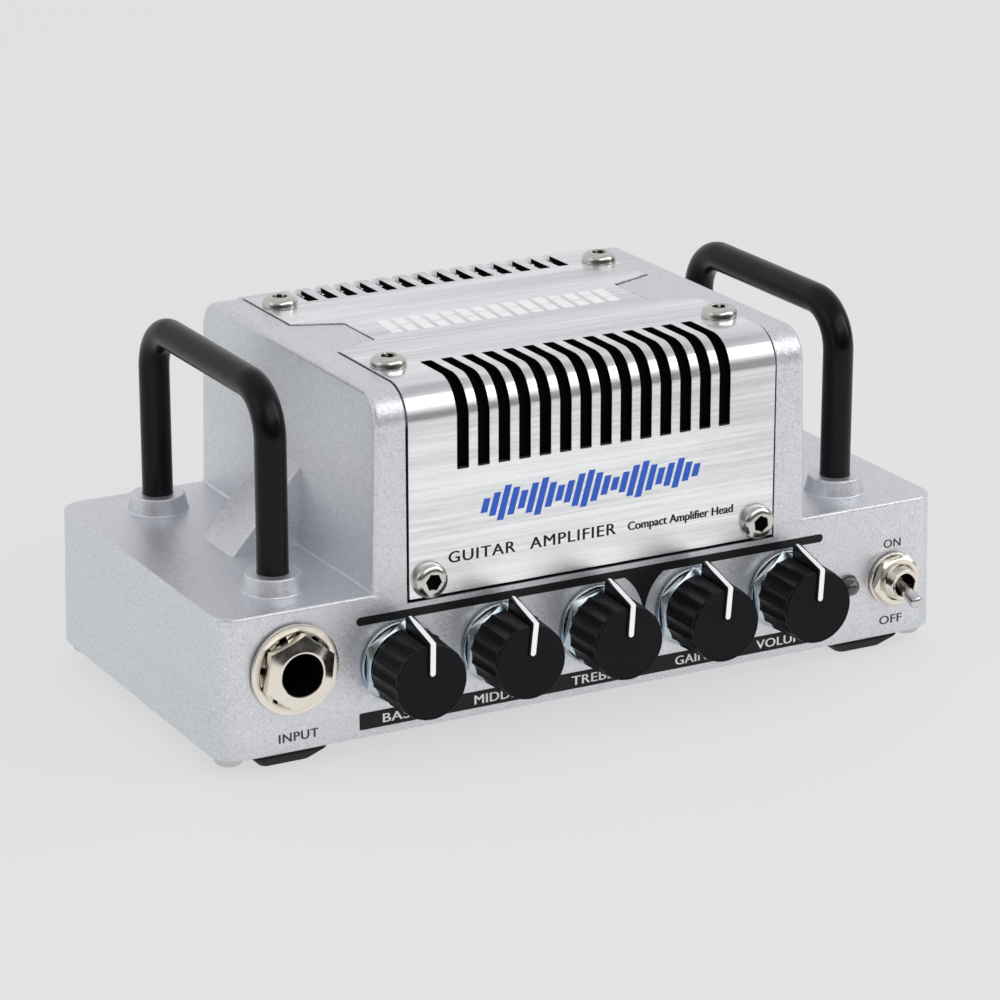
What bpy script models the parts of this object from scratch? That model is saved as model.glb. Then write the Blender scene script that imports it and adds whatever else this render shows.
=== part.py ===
"""Guitar amplifier head, palm sized: a cast housing with a raised centre block under a bent,
slotted cover, two bent-rod handles, five rotary controls, an input jack, a pilot lamp and a
toggle switch on the front, sockets on the back, a board inside, a bottom plate and rubber feet.

Units are millimetres in the constants and metres in the scene. +X is the object's right side
seen from the front, -Y is the front, +Z is up.  The design frame has its zero on the underside
of the casting at the middle of the footprint; FRAME_Y and FRAME_Z move the finished object so
that the row's origin is the bottom centre of its bounding box.
"""
import math

import bmesh
import bpy
from mathutils import Matrix, Vector

MM = 0.001

# ---------------------------------------------------------------- driving dimensions (mm)
FOOT_H = 3.1              # rubber feet below the casting
FRAME_Y = 3.875           # moves the box centre in depth onto the origin
FRAME_Z = FOOT_H          # feet stand on z = 0

BASE_HX, BASE_HY = 64.0, 31.9     # half width and half depth of the low body
BASE_H = 22.5
BASE_R = 4.5                      # vertical corner radius
BASE_DRAFT = 0.45                 # per side, over the height of the low body
WALL = 3.0                        # casting walls at the panels
ROOF_Z = 20.0                     # underside of the low body's roof

TOWER_HX0, TOWER_HX1 = 38.1, 37.4  # half width of the centre block, bottom and top
TOWER_HY0, TOWER_HY1 = 31.435, 31.35
TOWER_TOP = 53.6
TOWER_R = 5.3                     # bend of the front and rear top edges
TOWER_IN_HX, TOWER_IN_HY, TOWER_IN_TOP = 34.6, 28.4, 51.0
LINER_HX, LINER_T, LINER_Z = 26.5, 0.8, 36.0   # dark sheet under the slots

RECESS_DEPTH = 1.05
RECESS_HX = 32.45
RECESS_Z = 20.2
COVER_T = 1.0
COVER_PROUD = 0.25                # outer face above the casting
COVER_HX = 32.1
COVER_Z = 20.57
COVER_Y = 31.4                    # casting face under the cover's upright legs
SLOT_N = 14
SLOT_PITCH = 3.523
SLOT_W = 1.96
SLOT_Z = 40.2                     # lower end of the slots on the front face
SLOT_Y = 19.5                     # inner end of the slots on the top face
NOTCH_OUT, NOTCH_IN, NOTCH_D = 8.6, 5.47, 7.8

BOSS_R0, BOSS_R1, BOSS_H = 4.75, 3.85, 2.72
HANDLE_X, HANDLE_Y = 50.1, 21.6
HANDLE_R = 2.45                   # rod radius
HANDLE_BEND = 7.2                 # centre-line bend radius
HANDLE_TOP = 53.0                 # centre line of the grip
HANDLE_FOOT = 20.3
GUSSET_X, GUSSET_Z, GUSSET_HY = 49.7, 36.2, 5.8

PANEL_Y = 31.9                    # reference plane of the front and rear panels
KNOB_Z = 11.4
KNOB_PITCH = 17.1
KNOB_X0 = 0.1                     # middle control
KNOB_R0, KNOB_R1 = 6.3, 6.1
KNOB_T0, KNOB_T1 = 2.6, 10.7      # from the panel plane to the back and the face
SHAFT_R = 2.85
GAP = 0.3                         # clearance kept between touching pieces
# name, place in the row, angle at rest, how far it is pushed on past the bass knob, angle of a flat of its nut
CONTROLS = (("bass", -2, 1.0, 0.0, 58.5), ("middle", -1, 6.3, 0.5, 59.5), ("treble", 0, 3.9, 0.5, 46.5), ("gain", 1, 4.8, 0.25, 4.5), ("volume", 2, 3.3, 0.5, 9.5))

JACK_X, JACK_Z = -51.65, 13.25
JACK_BORE = 3.2                   # for a 6.35 mm plug
SWITCH_X, SWITCH_Z = 54.8, 9.75
SWITCH_PIVOT_T = 1.2
SWITCH_LEAN = 17.2                # degrees below the axis when off
LED_X, LED_Z = 46.6, 9.85

SCREW_TOP = (29.15, 19.15)
SCREW_FRONT = (28.9, 23.5)
M3_R, M3_CLEAR = 1.45, 1.75
HEAD_R, HEAD_H = 2.85, 1.65
BASE_SCREW = (60.7, 27.6)
FOOT_XY = (51.5, 24.2)

REAR_SOCKETS = (("speaker_jack", 40.0), ("loop_jack", 10.0))
PHONES_X, DC_X, REAR_Z = -20.0, -45.0, 12.5

# ---------------------------------------------------------------- scene and materials
for ob in list(bpy.data.objects):
    bpy.data.objects.remove(ob, do_unlink=True)

COLLECTION = bpy.context.scene.collection


def material(name, rgb, rough, metal):
    m = bpy.data.materials.new(name)
    m.use_nodes = True
    b = m.node_tree.nodes["Principled BSDF"]
    b.inputs["Base Color"].default_value = (rgb[0], rgb[1], rgb[2], 1.0)
    b.inputs["Roughness"].default_value = rough
    b.inputs["Metallic"].default_value = metal
    m.diffuse_color = (rgb[0], rgb[1], rgb[2], 1.0)
    return m


MATS = {
    "silver_paint": material("silver_paint", (0.56, 0.57, 0.61), 0.42, 0.55),
    "brushed_aluminium": material("brushed_aluminium", (0.72, 0.72, 0.73), 0.33, 1.0),
    "black_lacquer": material("black_lacquer", (0.012, 0.012, 0.013), 0.28, 0.0),
    "black_plastic": material("black_plastic", (0.018, 0.018, 0.020), 0.45, 0.0),
    "nickel": material("nickel", (0.74, 0.70, 0.63), 0.16, 1.0),
    "steel": material("steel", (0.66, 0.64, 0.60), 0.25, 1.0),
    "zinc": material("zinc", (0.60, 0.66, 0.70), 0.28, 1.0),
    "rubber": material("rubber", (0.015, 0.015, 0.015), 0.75, 0.0),
    "board": material("board", (0.015, 0.10, 0.05), 0.5, 0.0),
    "lens": material("lens", (0.50, 0.52, 0.52), 0.08, 0.0),
    "dark_steel": material("dark_steel", (0.20, 0.20, 0.21), 0.4, 0.9),
}


# ---------------------------------------------------------------- mesh helpers (mm in, metres out)
def finish_bm(bm):
    bmesh.ops.recalc_face_normals(bm, faces=bm.faces[:])
    return bm


def lay_object(name, bm, mat, at=(0.0, 0.0, 0.0), smooth=0.6):
    """Put a design-frame mesh into the scene with its origin at the point 'at' (mm)."""
    finish_bm(bm)
    me = bpy.data.meshes.new(name)
    bmesh.ops.translate(bm, verts=bm.verts[:], vec=-Vector(at))
    bmesh.ops.scale(bm, verts=bm.verts[:], vec=(MM, MM, MM))
    bm.to_mesh(me)
    bm.free()
    ob = bpy.data.objects.new(name, me)
    COLLECTION.objects.link(ob)
    ob.location = ((at[0]) * MM, (at[1] + FRAME_Y) * MM, (at[2] + FRAME_Z) * MM)
    me.materials.append(MATS[mat])
    me.shade_smooth()
    me.set_sharp_from_angle(angle=smooth)
    return ob


def loft(bm, sections):
    """Skin closed loops of equal length and cap both ends."""
    rings = [[bm.verts.new(p) for p in sec] for sec in sections]
    n = len(rings[0])
    for a, b in zip(rings[:-1], rings[1:]):
        for i in range(n):
            j = (i + 1) % n
            bm.faces.new((a[i], a[j], b[j], b[i]))
    bm.faces.new(rings[0])
    bm.faces.new(list(reversed(rings[-1])))
    return bm


def rounded_rect(hx, hy, r, n, z):
    pts = []
    for cx, cy, a0 in ((hx - r, hy - r, 0.0), (-hx + r, hy - r, 90.0), (-hx + r, -hy + r, 180.0), (hx - r, -hy + r, 270.0)):
        for k in range(n + 1):
            a = math.radians(a0 + 90.0 * k / n)
            pts.append((cx + r * math.cos(a), cy + r * math.sin(a), z))
    return pts


def box(bm, lo, hi):
    x0, y0, z0 = lo
    x1, y1, z1 = hi
    loft(bm, [[(x0, y0, z), (x1, y0, z), (x1, y1, z), (x0, y1, z)] for z in (z0, z1)])
    return bm


def prism(bm, poly, a, b, axis):
    """Extrude a polygon along one axis: axis 'x' takes (y, z) points, 'y' takes (x, z)."""
    put = {"x": lambda p, d: (d, p[0], p[1]), "y": lambda p, d: (p[0], d, p[1]), "z": lambda p, d: (p[0], p[1], d)}[axis]
    loft(bm, [[put(p, a) for p in poly], [put(p, b) for p in poly]])
    return bm


def turned(bm, profile, n, place, phase=0.0, closed=False):
    """Turn a profile of (radius, height) about an axis. 'place' maps (u, v, height) to the
    design frame. A closed profile makes a ring; an open one starts and ends on the axis."""
    rings = []
    for r, h in profile:
        if r < 1e-6:
            rings.append([bm.verts.new(place(0.0, 0.0, h))])
        else:
            rings.append([bm.verts.new(place(r * math.cos(phase + 2 * math.pi * k / n), r * math.sin(phase + 2 * math.pi * k / n), h)) for k in range(n)])
    pairs = list(zip(rings[:-1], rings[1:]))
    if closed:
        pairs.append((rings[-1], rings[0]))
    for a, b in pairs:
        for i in range(n):
            j = (i + 1) % n
            if len(a) == 1 and len(b) == 1:
                continue
            if len(a) == 1:
                bm.faces.new((a[0], b[j], b[i]))
            elif len(b) == 1:
                bm.faces.new((a[i], a[j], b[0]))
            else:
                bm.faces.new((a[i], a[j], b[j], b[i]))
    return bm


def front(cx, cz):
    """Axis out of the front panel: height is measured from the panel plane towards -Y."""
    return lambda u, v, h: (cx + u, -PANEL_Y - h, cz + v)


def rear(cx, cz):
    return lambda u, v, h: (cx - u, PANEL_Y + h, cz + v)


def upright(cx, cy):
    return lambda u, v, h: (cx + u, cy + v, h)


def to_mesh_object(bm):
    me = bpy.data.meshes.new("tool")
    finish_bm(bm)
    bm.to_mesh(me)
    bm.free()
    ob = bpy.data.objects.new("tool", me)
    COLLECTION.objects.link(ob)
    return ob


def combine(base, tool, operation):
    """Exact boolean of two closed meshes in the design frame; returns the new mesh."""
    a = to_mesh_object(base)
    b = to_mesh_object(tool)
    mod = a.modifiers.new("join", "BOOLEAN")
    mod.operation = operation
    mod.solver = "EXACT"
    mod.object = b
    deps = bpy.context.evaluated_depsgraph_get()
    deps.update()
    out = bmesh.new()
    out.from_mesh(a.evaluated_get(deps).to_mesh())
    for ob in (a, b):
        bpy.data.objects.remove(ob, do_unlink=True)
    bmesh.ops.remove_doubles(out, verts=out.verts[:], dist=1e-4)
    bmesh.ops.dissolve_degenerate(out, edges=out.edges[:], dist=1e-4)
    return out


def cut(base, tool):
    return combine(base, tool, "DIFFERENCE")


def join(base, tool):
    return combine(base, tool, "UNION")


def peg(place, r, h0, h1, n=20, phase=0.0):
    return turned(bmesh.new(), [(0, h0), (r, h0), (r, h1), (0, h1)], n, place, phase)


# ---------------------------------------------------------------- housing
def arch(offset, radius, z_low, n=4):
    """Outline in (y, z) of an upside-down U that follows the centre block's front, top and rear,
    moved outwards by 'offset'; from the front leg's foot over the top to the rear leg's foot."""
    hy, top = COVER_Y + offset, TOWER_TOP + offset
    pts = [(-hy, z_low)]
    for k in range(n + 1):
        a = math.radians(180.0 - 90.0 * k / n)
        pts.append((-hy + radius + radius * math.cos(a), top - radius + radius * math.sin(a)))
    return pts + [(-y, z) for y, z in reversed(pts)]


def build_shell():
    d = BASE_DRAFT
    bm = loft(bmesh.new(), [
        rounded_rect(BASE_HX - 0.5, BASE_HY - 0.5, BASE_R - 0.5, 4, 0.0),
        rounded_rect(BASE_HX, BASE_HY, BASE_R, 4, 0.5),
        rounded_rect(BASE_HX - d, BASE_HY - d, BASE_R - d, 4, BASE_H - 0.9),
        rounded_rect(BASE_HX - d - 0.25, BASE_HY - d - 0.25, BASE_R - d - 0.25, 4, BASE_H - 0.3),
        rounded_rect(BASE_HX - d - 0.85, BASE_HY - d - 0.85, BASE_R - d - 0.85, 4, BASE_H),
    ])
    secs = [rounded_rect(TOWER_HX0 - 0.05, TOWER_HY0 - 1.5, 0.8, 2, 5.0),
            rounded_rect(TOWER_HX0, TOWER_HY0 - 0.01, 0.8, 2, BASE_H - 1.5)]
    for k in range(5):
        a = math.radians(90.0 * k / 5)
        z = TOWER_TOP - TOWER_R + TOWER_R * math.sin(a)
        hx = TOWER_HX1 - (0.0, 0.0, 0.0, 0.1, 0.45)[k]
        secs.append(rounded_rect(hx, TOWER_HY1 - TOWER_R + TOWER_R * math.cos(a), 0.8, 2, z))
    secs.append(rounded_rect(TOWER_HX1 - 1.0, TOWER_HY1 - TOWER_R, 0.8, 2, TOWER_TOP))
    bm = join(bm, loft(bmesh.new(), secs))
    for s in (-1, 1):
        bm = join(bm, prism(bmesh.new(), [(s * GUSSET_X, BASE_H - 0.4), (s * GUSSET_X, BASE_H + 0.01), (s * 37.3, GUSSET_Z), (s * 36.0, GUSSET_Z), (s * 36.0, BASE_H - 0.4)], -GUSSET_HY, GUSSET_HY, "y"))
        for t in (-1, 1):
            bm = join(bm, turned(bmesh.new(), [(0, BASE_H - 1.0), (BOSS_R0, BASE_H - 1.0), (BOSS_R0, BASE_H + 0.05), (BOSS_R1 + 0.15, BASE_H + BOSS_H - 0.25), (BOSS_R1 - 0.1, BASE_H + BOSS_H), (0, BASE_H + BOSS_H)], 16, upright(s * HANDLE_X, t * HANDLE_Y)))
    # hollow: the low body's room and the centre block's room are one space, open below
    bm = cut(bm, loft(bmesh.new(), [rounded_rect(BASE_HX - WALL, BASE_HY - WALL, 2.0, 3, z) for z in (-2.0, ROOF_Z)]))
    bm = cut(bm, box(bmesh.new(), (-TOWER_IN_HX, -TOWER_IN_HY, 10.0), (TOWER_IN_HX, TOWER_IN_HY, TOWER_IN_TOP)))
    # corner posts for the bottom screws
    for s in (-1, 1):
        for t in (-1, 1):
            bm = join(bm, peg(upright(s * BASE_SCREW[0], t * BASE_SCREW[1]), 2.4, 1.6, ROOF_Z + 0.6, 12))
    # rabbet for the bottom plate
    bm = cut(bm, loft(bmesh.new(), [rounded_rect(BASE_HX - 1.4, BASE_HY - 1.4, 3.1, 5, z) for z in (-2.0, 1.5)]))
    # recess that the bent cover lies in; the two notches of the cover leave raised islands
    inner = arch(-RECESS_DEPTH, TOWER_R - RECESS_DEPTH, RECESS_Z)
    outer = [(40.0, RECESS_Z), (40.0, 60.0), (-40.0, 60.0), (-40.0, RECESS_Z)]
    tool = prism(bmesh.new(), inner + outer, -RECESS_HX, RECESS_HX, "x")
    g = GAP
    for s in (-1, 1):
        isl = [(s * (COVER_HX - NOTCH_D + g), NOTCH_IN - g), (s * 36.0, NOTCH_OUT - g + 3.9 * (NOTCH_OUT - NOTCH_IN) / NOTCH_D), (s * 36.0, -NOTCH_OUT + g - 3.9 * (NOTCH_OUT - NOTCH_IN) / NOTCH_D), (s * (COVER_HX - NOTCH_D + g), -NOTCH_IN + g)]
        tool = cut(tool, prism(bmesh.new(), isl, 48.0, 64.0, "z"))
    bm = cut(bm, tool)
    # air windows behind the slots
    for t in (-1, 1):
        lo, hi = sorted((t * 40.0, t * 18.9))
        bm = cut(bm, box(bmesh.new(), (-24.9, lo, 39.4), (24.9, hi, 60.0)))
    # cover screw holes
    for s in (-1, 1):
        for t in (-1, 1):
            bm = cut(bm, peg(upright(s * SCREW_TOP[0], t * SCREW_TOP[1]), M3_CLEAR, 48.0, 56.0, 12))
            bm = cut(bm, turned(bmesh.new(), [(0, 25.0), (M3_CLEAR, 25.0), (M3_CLEAR, 33.0), (0, 33.0)], 12, lambda u, v, h, s=s, t=t: (s * SCREW_FRONT[0] + u, t * h, SCREW_FRONT[1] + v)))
            bm = cut(bm, peg(upright(s * BASE_SCREW[0], t * BASE_SCREW[1]), 1.35, 0.5, 9.0, 12))
            bm = cut(bm, peg(upright(s * HANDLE_X, t * HANDLE_Y), HANDLE_R + GAP, 18.0, 28.0, 16))
    # panel holes
    for name, k, turn, push, flat in CONTROLS:
        bm = cut(bm, peg(front(KNOB_X0 + k * KNOB_PITCH, KNOB_Z), 4.05, -5.0, 2.0, 16))
    bm = cut(bm, peg(front(JACK_X, JACK_Z), 4.7, -5.0, 2.0, 16))
    bm = cut(bm, peg(front(SWITCH_X, SWITCH_Z), 3.3, -5.0, 2.0, 16))
    bm = cut(bm, peg(front(LED_X, LED_Z), 1.8, -5.0, 2.0, 12))
    for name, x in REAR_SOCKETS:
        bm = cut(bm, peg(rear(x, REAR_Z), 4.7, -5.0, 2.0, 16))
    bm = cut(bm, peg(rear(PHONES_X, REAR_Z), 3.3, -5.0, 2.0, 16))
    bm = cut(bm, peg(rear(DC_X, REAR_Z), 5.3, -5.0, 2.0, 16))
    return lay_object("chassis_shell", bm, "silver_paint")


def build_cover():
    out = arch(COVER_PROUD, TOWER_R + COVER_PROUD, COVER_Z)
    inn = arch(COVER_PROUD - COVER_T, TOWER_R + COVER_PROUD - COVER_T, COVER_Z)
    bm = prism(bmesh.new(), out + list(reversed(inn)), -COVER_HX, COVER_HX, "x")
    for s in (-1, 1):
        poly = [(s * (COVER_HX - NOTCH_D), NOTCH_IN), (s * (COVER_HX + 1.0), NOTCH_OUT + (NOTCH_OUT - NOTCH_IN) / NOTCH_D), (s * (COVER_HX + 1.0), -NOTCH_OUT - (NOTCH_OUT - NOTCH_IN) / NOTCH_D), (s * (COVER_HX - NOTCH_D), -NOTCH_IN)]
        bm = cut(bm, prism(bmesh.new(), poly, 48.0, 60.0, "z"))
    for t in (-1, 1):
        tool = bmesh.new()
        for i in range(SLOT_N):
            x = (i - (SLOT_N - 1) / 2.0) * SLOT_PITCH
            lo, hi = sorted((t * 38.0, t * SLOT_Y))
            box(tool, (x - SLOT_W / 2, lo, SLOT_Z), (x + SLOT_W / 2, hi, 60.0))
        bm = cut(bm, tool)
        for s in (-1, 1):
            bm = cut(bm, peg(upright(s * SCREW_TOP[0], t * SCREW_TOP[1]), M3_CLEAR, 48.0, 56.0, 12))
            bm = cut(bm, turned(bmesh.new(), [(0, 25.0), (M3_CLEAR, 25.0), (M3_CLEAR, 35.0), (0, 35.0)], 12, lambda u, v, h, s=s, t=t: (s * SCREW_FRONT[0] + u, t * h, SCREW_FRONT[1] + v)))
    return lay_object("vent_cover", bm, "brushed_aluminium", (0.0, 0.0, TOWER_TOP))


def build_liner():
    """Dark sheet folded in flats that hangs under the slots, inside the air windows."""
    y0, z0 = TOWER_IN_HY - 0.4, TOWER_IN_TOP - 0.4
    out = [(-y0, LINER_Z), (-y0, z0 - 4.4), (-y0 + 3.4, z0)]
    t = LINER_T
    inn = [(-y0 + t, LINER_Z), (-y0 + t, z0 - 4.4 - 0.33 * t), (-y0 + 3.4 + 0.41 * t, z0 - t)]
    out += [(-y, z) for y, z in reversed(out)]
    inn += [(-y, z) for y, z in reversed(inn)]
    return lay_object("vent_liner", prism(bmesh.new(), out + list(reversed(inn)), -LINER_HX, LINER_HX, "x"), "dark_steel", (0.0, 0.0, z0))


def build_base_plate():
    bm = loft(bmesh.new(), [rounded_rect(BASE_HX - 1.7, BASE_HY - 1.7, 2.8, 5, z) for z in (0.0, 1.2)])
    for s in (-1, 1):
        for t in (-1, 1):
            bm = cut(bm, peg(upright(s * BASE_SCREW[0], t * BASE_SCREW[1]), 1.35, -1.0, 3.0, 12))
            # threaded pillar under each corner of the board
            bm = join(bm, peg(upright(s * 42.0, t * 23.0), 2.2, 1.0, 3.3, 10))
    return lay_object("base_plate", bm, "dark_steel")


# ---------------------------------------------------------------- fasteners
def button_screw(name, place, at, head_r=HEAD_R, head_h=HEAD_H, shank_r=M3_R, shank=6.0, n=12):
    """Button-head socket screw: height zero is the face the head sits on, the head is above."""
    head = [(0, head_h - 1.1), (0.95, head_h - 1.1), (0.95, head_h), (head_r * 0.52, head_h), (head_r * 0.86, head_h * 0.66), (head_r, 0.35), (head_r, 0.0), (shank_r, 0.0), (shank_r, -shank), (0, -shank)]
    bm = bmesh.new()
    rings = []
    for i, (r, h) in enumerate(head):
        if r < 1e-6:
            rings.append([bm.verts.new(place(0, 0, h))])
            continue
        ring = []
        for k in range(n):
            a = 2 * math.pi * k / n
            ring.append(bm.verts.new(place(r * math.cos(a), r * math.sin(a), h)))
        rings.append(ring)
    for a, b in zip(rings[:-1], rings[1:]):
        for i in range(n):
            j = (i + 1) % n
            if len(a) == 1:
                bm.faces.new((a[0], b[j], b[i]))
            elif len(b) == 1:
                bm.faces.new((a[i], a[j], b[0]))
            else:
                bm.faces.new((a[i], a[j], b[j], b[i]))
    return lay_object(name, bm, "steel", at)


def build_screws():
    for s, sx in ((-1, "left"), (1, "right")):
        for t, ty in ((-1, "front"), (1, "rear")):
            x, y = s * SCREW_TOP[0], t * SCREW_TOP[1]
            z = TOWER_TOP + COVER_PROUD + 0.02
            button_screw("cover_screw_top_%s_%s" % (ty, sx), lambda u, v, h, x=x, y=y, z=z: (x + u, y + v, z + h), (x, y, z), shank=5.5)
            x, z = s * SCREW_FRONT[0], SCREW_FRONT[1]
            y = t * (COVER_Y + COVER_PROUD + 0.02)
            button_screw("cover_screw_%s_%s" % (ty, sx), lambda u, v, h, x=x, y=y, z=z, t=t: (x + u, y + t * h, z + v), (x, y, z), shank=5.5)
            x, y = s * BASE_SCREW[0], t * BASE_SCREW[1]
            button_screw("base_screw_%s_%s" % (ty, sx), lambda u, v, h, x=x, y=y: (x + u, y + v, -0.02 - h), (x, y, 0.0), 2.4, 1.7, 1.05, 7.0, 10)


def build_feet():
    for s, sx in ((-1, "left"), (1, "right")):
        for t, ty in ((-1, "front"), (1, "rear")):
            cx, cy = s * FOOT_XY[0], t * FOOT_XY[1]
            secs = []
            for z, h in ((-GAP, 6.1), (-1.0, 6.1), (-FOOT_H, 4.1)):
                secs.append([(cx + p[0], cy + p[1], z) for p in rounded_rect(h, h, 1.0, 2, z)])
            lay_object("foot_%s_%s" % (ty, sx), loft(bmesh.new(), secs), "rubber", (cx, cy, 0.0))


def build_handles():
    """One bent rod each: two legs and a straight grip, joined by quarter bends."""
    for s, name in ((-1, "handle_left"), (1, "handle_right")):
        path = [(-HANDLE_Y, HANDLE_FOOT)]
        for k in range(6):
            a = math.radians(180.0 - 90.0 * k / 5)
            path.append((-HANDLE_Y + HANDLE_BEND + HANDLE_BEND * math.cos(a), HANDLE_TOP - HANDLE_BEND + HANDLE_BEND * math.sin(a)))
        path += [(-y, z) for y, z in reversed(path)]
        secs = []
        for i, (y, z) in enumerate(path):
            y0, z0 = path[max(i - 1, 0)]
            y1, z1 = path[min(i + 1, len(path) - 1)]
            d = Vector((0.0, y1 - y0, z1 - z0)).normalized()
            side = Vector((1.0, 0.0, 0.0))
            up = d.cross(side)
            secs.append([tuple(Vector((s * HANDLE_X, y, z)) + HANDLE_R * (math.cos(2 * math.pi * k / 14) * side + math.sin(2 * math.pi * k / 14) * up)) for k in range(14)])
        lay_object(name, loft(bmesh.new(), secs), "black_lacquer", (s * HANDLE_X, 0.0, HANDLE_TOP))


# ---------------------------------------------------------------- controls
def build_control(name, k, turn, push, flat):
    x = KNOB_X0 + k * KNOB_PITCH
    f = front(x, KNOB_Z)
    at = (x, -PANEL_Y, KNOB_Z)
    # knob: turned body with a blind bore, and a pointer fin across the edge of its face
    t0, t1 = KNOB_T0 - push, KNOB_T1 - push
    bm = turned(bmesh.new(), [(0, 8.6 - push), (SHAFT_R + GAP, 8.6 - push), (SHAFT_R + GAP, t0), (KNOB_R0 - 0.3, t0), (KNOB_R0, t0 + 0.3), (KNOB_R1, t1 - 0.3), (KNOB_R1 - 0.3, t1), (0, t1)], 24, f)
    a = math.radians(turn)
    fin = [(t - push, h) for t, h in ((3.3, 4.4), (3.3, 8.2), (10.95, 6.3), (10.95, 1.5), (9.6, 1.5), (9.6, 4.4))]
    tool = loft(bmesh.new(), [[f(w * math.cos(a) + h * math.sin(a), h * math.cos(a) - w * math.sin(a), t) for t, h in fin] for w in (-0.7, 0.7)])
    bm = join(bm, tool)
    knob = lay_object("knob_" + name, bm, "black_plastic", at)
    # shaft with the knob's flat left out
    bm = peg(f, SHAFT_R, -8.2, 8.3 - push, 16)
    shaft = lay_object("pot_shaft_" + name, bm, "steel", at)
    pivot = bpy.data.objects.new("axis_" + name, None)
    COLLECTION.objects.link(pivot)
    pivot.location = knob.location.copy()
    for ob in (knob, shaft):
        ob.parent = pivot
        ob.location = (0.0, 0.0, 0.0)
    # potentiometer: square housing behind the panel and a threaded bushing through it
    bm = box(bmesh.new(), (x - 4.9, -PANEL_Y + WALL + GAP, KNOB_Z - 5.2), (x + 4.9, -PANEL_Y + WALL + GAP + 6.5, KNOB_Z + 5.2))
    bm = join(bm, peg(f, 3.75, -4.0, 1.9, 16))
    bm = cut(bm, peg(f, SHAFT_R + GAP, -8.6, 4.0, 16))
    lay_object("pot_body_" + name, bm, "dark_steel", at)
    bm = turned(bmesh.new(), [(4.05, 0.05), (6.4, 0.05), (6.4, 0.75), (4.05, 0.75)], 16, f, closed=True)
    lay_object("pot_washer_" + name, bm, "zinc", at)
    lay_object("pot_nut_" + name, hex_nut(f, 6.0, 4.05, 1.05, 1.9, flat - 30.0), "zinc", at)


def hex_nut(place, half_af, bore, h0, h1, phase_deg, n=12):
    """Hexagon outside, round bore: rings of 12 points, the outer one on the hexagon."""
    bm = bmesh.new()
    rings = []
    for r, h in ((None, h0), (None, h1), (bore, h1), (bore, h0)):
        ring = []
        for k in range(n):
            a = 2 * math.pi * k / n
            m = (a % (math.pi / 3)) - math.pi / 6
            rad = r if r else half_af / math.cos(m)
            b = a + math.radians(phase_deg)
            ring.append(bm.verts.new(place(rad * math.cos(b), rad * math.sin(b), h)))
        rings.append(ring)
    for i in range(4):
        p, q = rings[i], rings[(i + 1) % 4]
        for k in range(n):
            j = (k + 1) % n
            bm.faces.new((p[k], p[j], q[j], q[k]))
    bmesh.ops.dissolve_limit(bm, angle_limit=0.01, verts=bm.verts[:], edges=bm.edges[:], delimit=set())
    return bm


def build_input():
    f = front(JACK_X, JACK_Z)
    at = (JACK_X, -PANEL_Y, JACK_Z)
    bm = box(bmesh.new(), (JACK_X - 5.4, -PANEL_Y + WALL + GAP, JACK_Z - 5.4), (JACK_X + 5.4, -PANEL_Y + 24.0, JACK_Z + 5.4))
    bm = join(bm, peg(f, 4.35, -4.0, 2.2, 24))
    bm = cut(bm, peg(f, JACK_BORE, -22.0, 4.0, 24))
    lay_object("input_jack", bm, "black_plastic", at)
    bm = turned(bmesh.new(), [(4.9, 0.05), (7.15, 0.05), (7.15, 0.65), (4.9, 0.65)], 24, f, closed=True)
    lay_object("input_jack_washer", bm, "nickel", at)
    # dished nut: hexagon edge, coned front, round mouth, counterbored over the bushing
    bm = bmesh.new()
    rings = []
    for r, h in ((None, 0.95), (None, 1.95), (3.75, 3.0), (3.35, 3.0), (3.35, 2.5), (4.65, 2.5), (4.65, 0.95)):
        ring = []
        for k in range(24):
            a = 2 * math.pi * k / 24
            m = (a % (math.pi / 3)) - math.pi / 6
            rad = r if r else 5.25 / math.cos(m)
            b = a + math.radians(21.4)
            ring.append(bm.verts.new(f(rad * math.cos(b), rad * math.sin(b), h)))
        rings.append(ring)
    for i in range(len(rings)):
        p, q = rings[i], rings[(i + 1) % len(rings)]
        for k in range(24):
            j = (k + 1) % 24
            bm.faces.new((p[k], p[j], q[j], q[k]))
    lay_object("input_jack_nut", bm, "nickel", at)


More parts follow.
